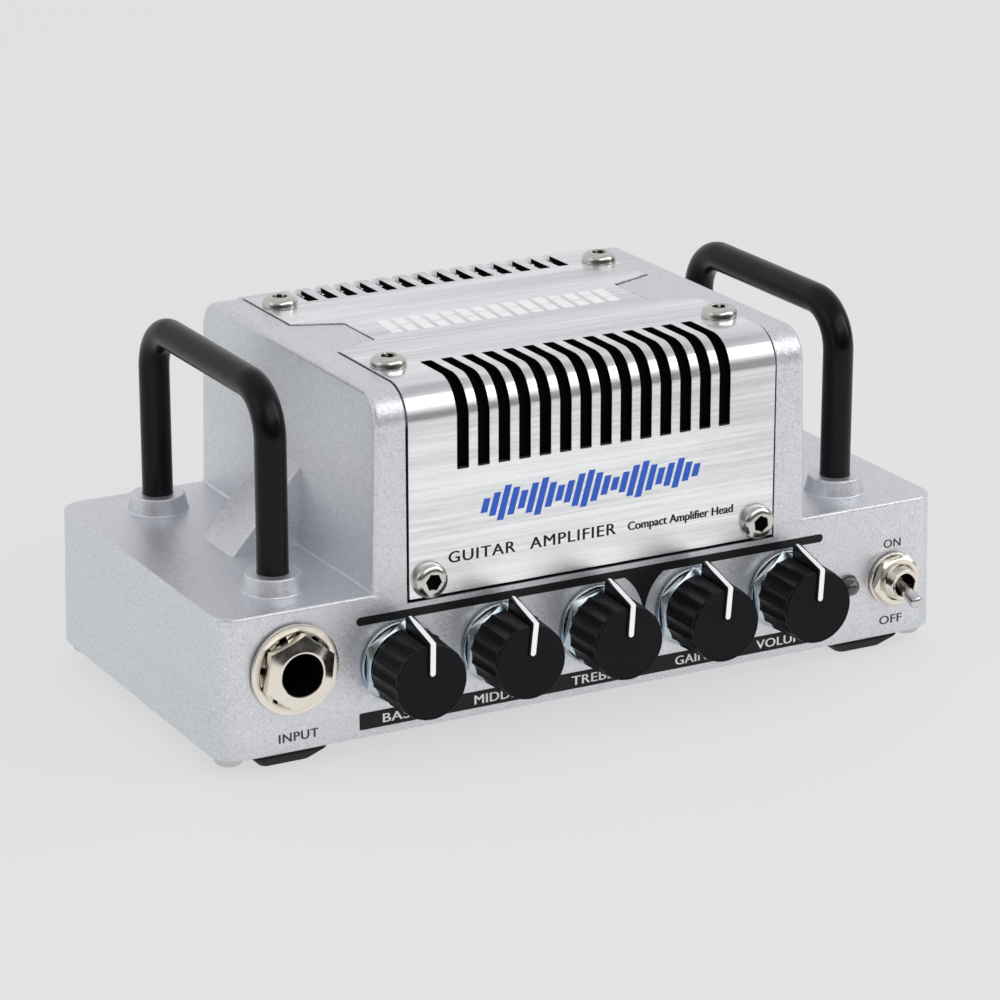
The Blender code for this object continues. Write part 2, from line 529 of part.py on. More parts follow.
def build_switch():
    f = front(SWITCH_X, SWITCH_Z)
    at = (SWITCH_X, -PANEL_Y, SWITCH_Z)
    bm = box(bmesh.new(), (SWITCH_X - 3.2, -PANEL_Y + WALL + GAP, SWITCH_Z - 4.0), (SWITCH_X + 3.2, -PANEL_Y + 12.0, SWITCH_Z + 6.0))
    bm = join(bm, peg(f, 3.0, -4.0, 4.0, 20))
    bm = cut(bm, peg(f, 2.05, -1.2, 5.0, 20))
    lay_object("power_switch_body", bm, "nickel", at)
    bm = turned(bmesh.new(), [(3.3, 0.05), (4.35, 0.05), (4.35, 0.6), (3.3, 0.6)], 20, f, closed=True)
    lay_object("power_switch_washer", bm, "nickel", at)
    lay_object("power_switch_nut", hex_nut(f, 3.95, 3.3, 0.9, 2.3, 8.0), "nickel", at)
    # lever: ball at the pivot, slim neck, thicker rounded tip, leaning down when off
    lean = math.radians(SWITCH_LEAN)
    pivot_y = -PANEL_Y - SWITCH_PIVOT_T
    prof = [(0, -1.3), (0.75, -1.0), (1.2, -0.3), (1.2, 0.35), (0.72, 1.1), (0.78, 3.2), (1.12, 6.0), (1.0, 6.5), (0.6, 6.85), (0, 7.0)]

    def along(u, v, h):
        return (SWITCH_X + u, pivot_y - h * math.cos(lean) - v * math.sin(lean), SWITCH_Z - h * math.sin(lean) + v * math.cos(lean))

    bm = turned(bmesh.new(), prof, 12, along)
    lever = lay_object("power_lever", bm, "nickel", (SWITCH_X, pivot_y, SWITCH_Z))
    pivot = bpy.data.objects.new("axis_power", None)
    COLLECTION.objects.link(pivot)
    pivot.location = lever.location.copy()
    lever.parent = pivot
    lever.location = (0.0, 0.0, 0.0)


def build_lamp():
    f = front(LED_X, LED_Z)
    prof = [(0, -5.5), (1.5, -5.5), (1.5, 1.2)]
    for k in range(1, 4):
        a = math.radians(90.0 * k / 4)
        prof.append((1.5 * math.cos(a), 1.2 + 1.4 * math.sin(a)))
    prof.append((0, 2.6))
    lay_object("power_led", turned(bmesh.new(), prof, 12, f), "lens", (LED_X, -PANEL_Y, LED_Z))


# ---------------------------------------------------------------- rear and inside
def build_rear():
    for name, x in REAR_SOCKETS:
        g = rear(x, REAR_Z)
        bm = box(bmesh.new(), (x - 5.4, 12.0, REAR_Z - 5.4), (x + 5.4, PANEL_Y - WALL - GAP, REAR_Z + 5.4))
        bm = join(bm, peg(g, 4.35, -4.0, 3.2, 20))
        bm = cut(bm, peg(g, JACK_BORE, -18.5, 4.0, 20))
        lay_object(name, bm, "black_plastic", (x, PANEL_Y, REAR_Z))
    g = rear(PHONES_X, REAR_Z)
    bm = box(bmesh.new(), (PHONES_X - 3.2, 15.0, REAR_Z - 3.2), (PHONES_X + 3.2, PANEL_Y - WALL - GAP, REAR_Z + 3.2))
    bm = join(bm, peg(g, 3.0, -4.0, 2.4, 16))
    bm = cut(bm, peg(g, 1.8, -14.0, 4.0, 16))
    lay_object("phones_jack", bm, "black_plastic", (PHONES_X, PANEL_Y, REAR_Z))
    g = rear(DC_X, REAR_Z)
    bm = box(bmesh.new(), (DC_X - 4.6, 17.0, REAR_Z - 5.0), (DC_X + 4.6, PANEL_Y - WALL - GAP, REAR_Z + 5.0))
    bm = join(bm, peg(g, 5.0, -4.0, 1.2, 20))
    bm = cut(bm, turned(bmesh.new(), [(1.0, -9.0), (2.8, -9.0), (2.8, 3.0), (1.0, 3.0)], 16, g, closed=True))
    lay_object("dc_jack", bm, "black_plastic", (DC_X, PANEL_Y, REAR_Z))


def build_board():
    """Board with its tall soldered parts: two storage capacitors and a finned cooler."""
    bm = box(bmesh.new(), (-57.0, -27.4, 3.6), (57.0, 27.4, 5.2))
    for x, y, r, h in ((-22.0, 2.0, 5.0, 20.0), (-8.0, 3.0, 4.0, 15.0), (6.0, -8.0, 4.0, 15.0)):
        bm = join(bm, peg(upright(x, y), r, 4.6, 5.2 + h, 12))
    bm = join(bm, box(bmesh.new(), (12.0, -2.0, 4.6), (30.0, 1.0, 34.0)))
    for i in range(5):
        x = 13.0 + 3.6 * i
        bm = join(bm, box(bmesh.new(), (x, 0.5, 6.4), (x + 1.4, 6.0, 33.0)))
    return lay_object("main_board", bm, "board", (0.0, 0.0, 5.2))


def main():
    build_shell()
    build_base_plate()
    build_cover()
    build_liner()
    build_screws()
    build_feet()
    build_handles()
    for name, k, turn, push, flat in CONTROLS:
        build_control(name, k, turn, push, flat)
    build_input()
    build_switch()
    build_lamp()
    build_rear()
    build_board()


main()
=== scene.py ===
"""Looks for a palm-sized guitar amplifier head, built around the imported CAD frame.

Every mesh is laid out in millimetres in the design frame of the casting (zero on the underside
of the casting, at the middle of its footprint) and moved by the offsets that the packed
chassis_shell's box gives, so it lands where the CAD says.
"""
import math

import bmesh
import bpy
from mathutils import Matrix, Vector


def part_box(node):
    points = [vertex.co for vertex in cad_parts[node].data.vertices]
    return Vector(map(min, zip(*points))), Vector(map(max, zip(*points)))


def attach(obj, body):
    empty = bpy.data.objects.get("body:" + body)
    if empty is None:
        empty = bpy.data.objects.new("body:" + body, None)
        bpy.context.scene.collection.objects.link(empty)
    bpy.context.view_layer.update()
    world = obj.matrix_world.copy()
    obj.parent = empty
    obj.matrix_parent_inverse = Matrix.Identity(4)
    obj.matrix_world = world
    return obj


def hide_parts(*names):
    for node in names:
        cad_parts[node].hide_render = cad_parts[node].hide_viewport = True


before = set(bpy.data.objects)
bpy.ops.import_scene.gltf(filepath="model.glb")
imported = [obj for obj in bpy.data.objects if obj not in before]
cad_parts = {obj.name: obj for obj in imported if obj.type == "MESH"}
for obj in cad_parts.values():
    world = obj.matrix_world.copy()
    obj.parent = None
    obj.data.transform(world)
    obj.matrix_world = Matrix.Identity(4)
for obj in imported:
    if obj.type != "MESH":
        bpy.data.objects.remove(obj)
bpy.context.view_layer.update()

MM = 0.001
shell_lo, shell_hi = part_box("chassis_shell")
FX = 0.5 * (shell_lo.x + shell_hi.x)
FY = 0.5 * (shell_lo.y + shell_hi.y)
FZ = shell_lo.z

# ---------------------------------------------------------------- dimensions, mm (as in the CAD)
BASE_HX, BASE_HY, BASE_H, BASE_R, BASE_DRAFT = 64.0, 31.9, 22.5, 4.5, 0.45
WALL, ROOF_Z = 3.0, 20.0
TOWER_HX0, TOWER_HX1, TOWER_HY0, TOWER_HY1 = 38.1, 37.4, 31.435, 31.35
TOWER_TOP, TOWER_R = 53.6, 5.3
TOWER_IN_HX, TOWER_IN_HY, TOWER_IN_TOP = 34.6, 28.4, 51.0
RECESS_DEPTH, RECESS_HX, RECESS_Z = 1.05, 32.45, 20.2
COVER_T, COVER_PROUD, COVER_HX, COVER_Z, COVER_Y = 1.0, 0.25, 32.1, 20.57, 31.4
SLOT_N, SLOT_PITCH, SLOT_W, SLOT_Z, SLOT_Y = 14, 3.523, 1.96, 40.2, 19.5
NOTCH_OUT, NOTCH_IN, NOTCH_D = 8.6, 5.47, 7.8
BOSS_R0, BOSS_R1, BOSS_H = 4.75, 3.85, 2.72
HANDLE_X, HANDLE_Y, HANDLE_R, HANDLE_BEND, HANDLE_TOP, HANDLE_FOOT = 50.1, 21.6, 2.45, 7.2, 53.0, 20.3
GUSSET_X, GUSSET_Z, GUSSET_HY = 49.7, 36.2, 5.8
PANEL_Y, KNOB_Z, KNOB_PITCH, KNOB_X0 = 31.9, 11.4, 17.1, 0.1
CONTROLS = (("bass", -2, 1.0, 0.0, 58.5), ("middle", -1, 6.3, 0.5, 59.5), ("treble", 0, 3.9, 0.5, 46.5), ("gain", 1, 4.8, 0.25, 4.5), ("volume", 2, 3.3, 0.5, 9.5))
JACK_X, JACK_Z = -51.65, 13.25
SWITCH_X, SWITCH_Z, SWITCH_T, SWITCH_LEAN = 54.8, 9.75, 1.2, 17.2
LED_X, LED_Z = 46.6, 9.85
SCREW_TOP, SCREW_FRONT = (29.15, 19.15), (28.9, 23.5)
BASE_SCREW, FOOT_XY = (60.7, 27.6), (51.5, 24.2)
REAR_Z = 12.5
REAR_SOCKETS = (("speaker_jack", 40.0), ("loop_jack", 10.0))
PHONES_X, DC_X = -20.0, -45.0
rad = math.radians


# ================================================================ materials
class Mat:
    """A small builder for procedural materials; coordinates are the piece's own, in metres."""

    def __init__(self, name, base, rough, metal=0.0):
        self.m = bpy.data.materials.new(name)
        self.m.use_nodes = True
        self.nt = self.m.node_tree
        self.b = self.nt.nodes["Principled BSDF"]
        self.base = base
        self.b.inputs["Base Color"].default_value = (base[0], base[1], base[2], 1.0)
        self.b.inputs["Roughness"].default_value = rough
        self.b.inputs["Metallic"].default_value = metal
        self.m.diffuse_color = (base[0], base[1], base[2], 1.0)
        self.coord = self.node("ShaderNodeTexCoord").outputs["Object"]

    def node(self, kind, **kw):
        n = self.nt.nodes.new(kind)
        for k, v in kw.items():
            setattr(n, k, v)
        return n

    def link(self, a, b):
        self.nt.links.new(a, b)

    def mapped(self, scale, rot=(0.0, 0.0, 0.0)):
        n = self.node("ShaderNodeMapping")
        self.link(self.coord, n.inputs["Vector"])
        n.inputs["Scale"].default_value = scale
        n.inputs["Rotation"].default_value = rot
        return n.outputs["Vector"]

    def noise(self, scale, detail=3.0, rough=0.55, vec=None, distort=0.0):
        n = self.node("ShaderNodeTexNoise")
        n.inputs["Scale"].default_value = scale
        n.inputs["Detail"].default_value = detail
        n.inputs["Roughness"].default_value = rough
        n.inputs["Distortion"].default_value = distort
        self.link(vec if vec is not None else self.coord, n.inputs["Vector"])
        return n.outputs["Fac"]

    def voronoi(self, scale, vec=None, feature="F1"):
        n = self.node("ShaderNodeTexVoronoi", feature=feature)
        n.inputs["Scale"].default_value = scale
        self.link(vec if vec is not None else self.coord, n.inputs["Vector"])
        return n

    def span(self, fac, a, b, to0, to1, smooth=False):
        n = self.node("ShaderNodeMapRange")
        n.interpolation_type = "SMOOTHSTEP" if smooth else "LINEAR"
        n.inputs["From Min"].default_value = a
        n.inputs["From Max"].default_value = b
        n.inputs["To Min"].default_value = to0
        n.inputs["To Max"].default_value = to1
        self.link(fac, n.inputs["Value"])
        return n.outputs["Result"]

    def math(self, op, a, b):
        n = self.node("ShaderNodeMath", operation=op)
        for i, v in enumerate((a, b)):
            if v is None:
                continue
            if isinstance(v, (int, float)):
                n.inputs[i].default_value = v
            else:
                self.link(v, n.inputs[i])
        return n.outputs[0]

    def mix(self, fac, a, b):
        n = self.node("ShaderNodeMix", data_type="RGBA")
        self.link(fac, n.inputs["Factor"])
        for key, v in (("A", a), ("B", b)):
            s = [i for i in n.inputs if i.name == key and i.type == "RGBA"][0]
            if isinstance(v, tuple):
                s.default_value = (v[0], v[1], v[2], 1.0)
            else:
                self.link(v, s)
        return [o for o in n.outputs if o.type == "RGBA"][0]

    def shade(self, fac, k0, k1):
        """Base colour times a factor that runs from k0 to k1 with fac 0 to 1."""
        return self.mix(fac, tuple(c * k0 for c in self.base), tuple(min(1.0, c * k1) for c in self.base))

    def colour(self, out):
        self.link(out, self.b.inputs["Base Color"])

    def rough(self, fac, r0, r1, a=0.3, b=0.7):
        self.link(self.span(fac, a, b, r0, r1), self.b.inputs["Roughness"])

    def bump(self, fac, strength, distance, chain=None):
        n = self.node("ShaderNodeBump")
        n.inputs["Strength"].default_value = strength
        n.inputs["Distance"].default_value = distance
        self.link(fac, n.inputs["Height"])
        if chain is not None:
            self.link(chain, n.inputs["Normal"])
        return n.outputs["Normal"]

    def normal(self, out):
        self.link(out, self.b.inputs["Normal"])

    def put(self, name, value):
        self.b.inputs[name].default_value = value
        return self

    def xyz(self):
        n = self.node("ShaderNodeSeparateXYZ")
        self.link(self.coord, n.inputs[0])
        return n.outputs


def silver_paint():
    m = Mat("silver_paint", (0.72, 0.728, 0.772), 0.42, 0.86)
    fine = m.voronoi(4600.0)
    flake = m.node("ShaderNodeSeparateColor")
    m.link(fine.outputs["Color"], flake.inputs[0])
    cloud = m.noise(2600.0, 2.0, 0.6)
    tone = m.math("ADD", m.math("MULTIPLY", flake.outputs[0], 0.55), m.math("MULTIPLY", cloud, 0.45))
    drift = m.noise(22.0, 2.0, 0.5)
    tone = m.math("ADD", tone, m.math("MULTIPLY", m.math("SUBTRACT", drift, 0.5), 0.18))
    m.colour(m.shade(tone, 0.80, 1.20))
    m.rough(cloud, 0.40, 0.44)
    # each flake of the metallic paint leans its own way
    lean = m.node("ShaderNodeVectorMath", operation="SUBTRACT")
    m.link(fine.outputs["Color"], lean.inputs[0])
    lean.inputs[1].default_value = (0.5, 0.5, 0.5)
    amount = m.node("ShaderNodeVectorMath", operation="SCALE")
    m.link(lean.outputs[0], amount.inputs[0])
    amount.inputs["Scale"].default_value = 0.16
    geo = m.node("ShaderNodeNewGeometry")
    add = m.node("ShaderNodeVectorMath", operation="ADD")
    m.link(geo.outputs["Normal"], add.inputs[0])
    m.link(amount.outputs[0], add.inputs[1])
    norm = m.node("ShaderNodeVectorMath", operation="NORMALIZE")
    m.link(add.outputs[0], norm.inputs[0])
    peel = m.noise(1500.0, 3.0, 0.6)
    m.normal(m.bump(peel, 0.10, 0.00003, norm.outputs[0]))
    m.put("Coat Weight", 0.06).put("Coat Roughness", 0.32)
    return m.m


def brushed_aluminium():
    m = Mat("brushed_aluminium", (0.875, 0.89, 0.92), 0.33, 1.0)
    x, y, z = m.xyz()
    hair = m.noise(1.0, 5.0, 0.68, m.mapped((170.0, 6000.0, 6000.0)))
    band = m.noise(1.0, 3.0, 0.6, m.mapped((9.0, 1300.0, 1300.0)))
    wide = m.noise(1.0, 2.0, 0.5, m.mapped((16.0, 210.0, 210.0)))
    grain = m.math("ADD", m.math("MULTIPLY", hair, 0.5), m.math("MULTIPLY", band, 0.5))
    # the bends were polished after the brushing
    side = m.math("ABSOLUTE", m.math("SUBTRACT", y, FY), None)
    bend = m.math("MULTIPLY", m.span(side, (COVER_Y - 5.15) * MM, (COVER_Y - 4.7) * MM, 0.0, 1.0, True),
                  m.span(z, FZ + 48.55 * MM, FZ + 48.7 * MM, 0.0, 1.0, True))
    flat = m.math("SUBTRACT", 1.0, bend)
    tone = m.math("ADD", m.math("MULTIPLY", m.math("SUBTRACT", grain, 0.5), m.math("ADD", m.math("MULTIPLY", flat, 0.85), 0.15)),
                  m.math("ADD", 0.5, m.math("MULTIPLY", m.math("SUBTRACT", wide, 0.5), 0.5)))
    m.colour(m.shade(m.span(tone, 0.38, 0.62, 0.0, 1.0), 0.77, 1.10))
    r = m.math("ADD", m.math("MULTIPLY", flat, 0.19), m.span(grain, 0.3, 0.7, 0.09, 0.14))
    m.link(r, m.b.inputs["Roughness"])
    tan = m.node("ShaderNodeTangent", direction_type="RADIAL", axis="X")
    m.link(tan.outputs[0], m.b.inputs["Tangent"])
    m.put("Anisotropic", 0.5)
    n = m.node("ShaderNodeBump")
    n.inputs["Distance"].default_value = 0.00002
    m.link(m.math("ADD", m.math("MULTIPLY", flat, 0.30), 0.03), n.inputs["Strength"])
    m.link(hair, n.inputs["Height"])
    m.normal(n.outputs["Normal"])
    return m.m


def plain_metal(name, base, rough, dark=0.86, light=1.08, streak=None, scale=900.0, bump=0.10, aniso=0.0):
    m = Mat(name, base, rough, 1.0)
    fine = m.noise(scale, 3.0, 0.6, m.mapped(streak) if streak else None)
    slow = m.noise(190.0, 2.0, 0.5)
    m.colour(m.shade(m.math("ADD", m.math("MULTIPLY", fine, 0.5), m.math("MULTIPLY", slow, 0.5)), dark, light))
    m.rough(fine, rough * 0.75, rough * 1.35)
    m.normal(m.bump(fine, bump, 0.00002))
    if aniso:
        m.put("Anisotropic", aniso)
    return m.m


def zinc():
    m = Mat("zinc", (0.56, 0.63, 0.68), 0.24, 1.0)
    slow = m.noise(260.0, 2.0, 0.5)
    fine = m.noise(1500.0, 3.0, 0.6)
    tint = m.mix(m.span(slow, 0.38, 0.62, 0.0, 1.0), (0.33, 0.42, 0.49), (0.56, 0.60, 0.58))
    m.colour(m.mix(m.math("MULTIPLY", fine, 0.25), tint, (0.76, 0.81, 0.86)))
    m.rough(fine, 0.17, 0.32)
    m.normal(m.bump(fine, 0.15, 0.00002))
    return m.m


def lacquer(name, base, r0, r1, coat=0.0, scale=700.0, bump=0.08, dist=0.00002, light=1.5, spec=0.5):
    m = Mat(name, base, 0.5 * (r0 + r1), 0.0)
    fine = m.noise(scale, 4.0, 0.6)
    slow = m.noise(60.0, 2.0, 0.5)
    m.colour(m.shade(m.math("ADD", m.math("MULTIPLY", fine, 0.5), m.math("MULTIPLY", slow, 0.5)), 0.7, light))
    m.rough(fine, r0, r1)
    m.normal(m.bump(fine, bump, dist))
    if coat:
        m.put("Coat Weight", coat).put("Coat Roughness", 0.12)
    m.put("Specular IOR Level", spec)
    return m.m


def ink(name, base, rough=0.5, worn=0.9):
    m = Mat(name, base, rough, 0.0)
    fine = m.noise(2600.0, 3.0, 0.6)
    slow = m.noise(240.0, 2.0, 0.5)
    m.colour(m.shade(m.math("ADD", m.math("MULTIPLY", fine, 0.5), m.math("MULTIPLY", slow, 0.5)), worn, 1.1))
    m.rough(fine, rough * 0.85, rough * 1.15)
    m.normal(m.bump(fine, 0.12, 0.00001))
    m.put("Specular IOR Level", 0.22)
    return m.m


def lens():
    m = Mat("lens", (0.09, 0.095, 0.10), 0.10, 0.0)
    slow = m.noise(420.0, 2.0, 0.5)
    m.colour(m.shade(slow, 0.5, 1.5))
    m.rough(slow, 0.05, 0.12)
    m.put("Transmission Weight", 0.35).put("IOR", 1.5)
    m.put("Coat Weight", 0.6).put("Coat Roughness", 0.04)
    return m.m


def board():
    m = Mat("board", (0.012, 0.085, 0.045), 0.42, 0.0)
    v = m.voronoi(170.0, m.mapped((1.0, 1.0, 0.05)), "DISTANCE_TO_EDGE")
    trace = m.span(v.outputs["Distance"], 0.02, 0.04, 1.0, 0.0)
    m.colour(m.mix(trace, (0.010, 0.075, 0.040), (0.03, 0.17, 0.08)))
    m.normal(m.bump(trace, 0.3, 0.00003))
    return m.m


PAINT = silver_paint()
BRUSHED = brushed_aluminium()
NICKEL = plain_metal("nickel", (0.78, 0.735, 0.655), 0.15, 0.90, 1.06, bump=0.05)
NICKEL_SATIN = plain_metal("nickel_satin", (0.80, 0.755, 0.68), 0.27, 0.90, 1.06, bump=0.10)
STEEL = plain_metal("steel", (0.63, 0.615, 0.585), 0.20, 0.85, 1.08, bump=0.08)
LEVER = plain_metal("lever_steel", (0.62, 0.62, 0.64), 0.24, 0.85, 1.1, bump=0.08)
DARK_STEEL = plain_metal("dark_steel", (0.16, 0.16, 0.17), 0.42, 0.8, 1.2, bump=0.2)
ZINC = zinc()
LACQUER = lacquer("black_lacquer", (0.0030, 0.0030, 0.0038), 0.20, 0.28, coat=0.04, scale=500.0, bump=0.05, spec=0.15)
KNOB = lacquer("black_plastic", (0.0042, 0.0043, 0.0062), 0.30, 0.40, scale=1900.0, bump=0.16, dist=0.00002, spec=0.11)
SOCKET = lacquer("socket_plastic", (0.010, 0.010, 0.011), 0.38, 0.5, scale=1200.0, bump=0.1)
HOLLOW = lacquer("hollow_black", (0.0015, 0.0015, 0.0016), 0.85, 0.95, scale=600.0, bump=0.05, light=1.2, spec=0.05)
RUBBER = lacquer("rubber", (0.0075, 0.0075, 0.008), 0.60, 0.75, scale=1400.0, bump=0.35, dist=0.00004, spec=0.2)
INK_BLACK = ink("ink_black", (0.0085, 0.0085, 0.0095), 0.36, 0.85)
INK_GREY = ink("ink_grey", (0.036, 0.038, 0.044), 0.45, 0.85)
INK_WHITE = ink("ink_white", (0.95, 0.96, 0.97), 0.50, 0.95)
INK_BLUE = ink("ink_blue", (0.030, 0.115, 0.56), 0.38, 0.88)
LENS = lens()
BOARD = board()


# ================================================================ mesh helpers (mm)
COL = bpy.context.scene.collection


def row(p):
    return Vector((FX + p[0] * MM, FY + p[1] * MM, FZ + p[2] * MM))


def lay(name, bm, mat, body="housing", at=(0.0, 0.0, 0.0), rot=None, sharp=30.0, weighted=True,
        stands=(), local=False, recalc=True):
    """Puts a design-frame mesh into the scene with its origin at 'at', riding on a CAD body."""
    if recalc:
        bmesh.ops.recalc_face_normals(bm, faces=bm.faces[:])
    if not local:
        bmesh.ops.translate(bm, verts=bm.verts[:], vec=-Vector(at))
    bmesh.ops.scale(bm, verts=bm.verts[:], vec=(MM, MM, MM))
    me = bpy.data.meshes.new(name)
    bm.to_mesh(me)
    bm.free()
    me.materials.append(mat)
    me.shade_smooth()
    me.set_sharp_from_angle(angle=rad(sharp))
    ob = bpy.data.objects.new(name, me)
    COL.objects.link(ob)
    ob.location = row(at)
    if rot is not None:
        ob.rotation_euler = rot
    if weighted:
        w = ob.modifiers.new("weighted", "WEIGHTED_NORMAL")
        w.keep_sharp = True
        w.weight = 100
    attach(ob, body)
    if stands:
        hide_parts(*stands)
    return ob


def bevelled(bm, width, segments=2, angle=30.0):
    """Applies an angle-limited bevel to a mesh."""
    ob = temp(bm)
    mod = ob.modifiers.new("bevel", "BEVEL")
    mod.width = width
    mod.segments = segments
    mod.limit_method = "ANGLE"
    mod.angle_limit = rad(angle)
    mod.miter_outer = "MITER_ARC"
    mod.use_clamp_overlap = True
    return harvest(ob)


def temp(bm):
    bmesh.ops.recalc_face_normals(bm, faces=bm.faces[:])
    me = bpy.data.meshes.new("temp")
    bm.to_mesh(me)
    bm.free()
    ob = bpy.data.objects.new("temp", me)
    COL.objects.link(ob)
    return ob


def harvest(ob, extra=()):
    deps = bpy.context.evaluated_depsgraph_get()
    deps.update()
    out = bmesh.new()
    out.from_mesh(ob.evaluated_get(deps).to_mesh())
    for o in (ob,) + tuple(extra):
        me = o.data
        bpy.data.objects.remove(o, do_unlink=True)
        bpy.data.meshes.remove(me)
    return out


def combine(base, tool, operation):
    a, b = temp(base), temp(tool)
    mod = a.modifiers.new("join", "BOOLEAN")
    mod.operation = operation
    mod.solver = "EXACT"
    mod.object = b
    out = harvest(a, (b,))
    bmesh.ops.remove_doubles(out, verts=out.verts[:], dist=1e-4)
    bmesh.ops.dissolve_degenerate(out, edges=out.edges[:], dist=1e-4)
    return out


def cut(base, tool):
    return combine(base, tool, "DIFFERENCE")


def join(base, tool):
    return combine(base, tool, "UNION")


def loft(bm, sections, cap=True):
    rings = [[bm.verts.new(p) for p in sec] for sec in sections]
    n = len(rings[0])
    for a, b in zip(rings[:-1], rings[1:]):
        for i in range(n):
            j = (i + 1) % n
            bm.faces.new((a[i], a[j], b[j], b[i]))
    if cap:
        bm.faces.new(list(reversed(rings[0])))
        bm.faces.new(rings[-1])
    return bm


def rounded_rect(hx, hy, r, n, z, cx=0.0, cy=0.0):
    pts = []
    for sx, sy, a0 in ((1, 1, 0.0), (-1, 1, 90.0), (-1, -1, 180.0), (1, -1, 270.0)):
        for k in range(n + 1):
            a = rad(a0 + 90.0 * k / n)
            pts.append((cx + sx * (hx - r) + r * math.cos(a), cy + sy * (hy - r) + r * math.sin(a), z))
    return pts


def box(bm, lo, hi):
    return loft(bm, [[(lo[0], lo[1], z), (hi[0], lo[1], z), (hi[0], hi[1], z), (lo[0], hi[1], z)] for z in (lo[2], hi[2])])


def prism(bm, poly, a, b, axis):
    put = {"x": lambda p, d: (d, p[0], p[1]), "y": lambda p, d: (p[0], d, p[1]), "z": lambda p, d: (p[0], p[1], d)}[axis]
    return loft(bm, [[put(p, a) for p in poly], [put(p, b) for p in poly]])


def turned(bm, profile, n, place, phase=0.0, closed=False):
    """Turns (radius, height) about an axis. A radius may also be a function of the angle."""
    rings = []
    for r, h in profile:
        if not callable(r) and r < 1e-6:
            rings.append([bm.verts.new(place(0.0, 0.0, h))])
            continue
        ring = []
        for k in range(n):
            a = 2 * math.pi * k / n
            rr = r(a) if callable(r) else r
            hh = h(a) if callable(h) else h
            ring.append(bm.verts.new(place(rr * math.cos(a + phase), rr * math.sin(a + phase), hh)))
        rings.append(ring)
    pairs = list(zip(rings[:-1], rings[1:]))
    if closed:
        pairs.append((rings[-1], rings[0]))
    for a, b in pairs:
        for i in range(n):
            j = (i + 1) % n
            if len(a) == 1 and len(b) == 1:
                continue
            if len(a) == 1:
                bm.faces.new((a[0], b[j], b[i]))
            elif len(b) == 1:
                bm.faces.new((a[i], a[j], b[0]))
            else:
                bm.faces.new((a[i], a[j], b[j], b[i]))
    return bm


def front(cx, cz):
    return lambda u, v, h: (cx + u, -PANEL_Y - h, cz + v)


def rear(cx, cz):
    return lambda u, v, h: (cx - u, PANEL_Y + h, cz + v)


def upright(cx, cy):
    return lambda u, v, h: (cx + u, cy + v, h)


def peg(place, r, h0, h1, n=32, phase=0.0):
    return turned(bmesh.new(), [(0, h0), (r, h0), (r, h1), (0, h1)], n, place, phase)


def arc(cx, cy, r, a0, a1, n):
    return [(cx + r * math.cos(rad(a0 + (a1 - a0) * k / n)), cy + r * math.sin(rad(a0 + (a1 - a0) * k / n))) for k in range(n + 1)]


def hexrad(half_af):
    return lambda a: half_af / math.cos((a % (math.pi / 3)) - math.pi / 6)


def arch(offset, radius, z_low, n=20):
    hy, top = COVER_Y + offset, TOWER_TOP + offset
    pts = [(-hy, z_low)]
    for k in range(n + 1):
        a = rad(180.0 - 90.0 * k / n)
        pts.append((-hy + radius + radius * math.cos(a), top - radius + radius * math.sin(a)))
    return pts + [(-y, z) for y, z in reversed(pts)]


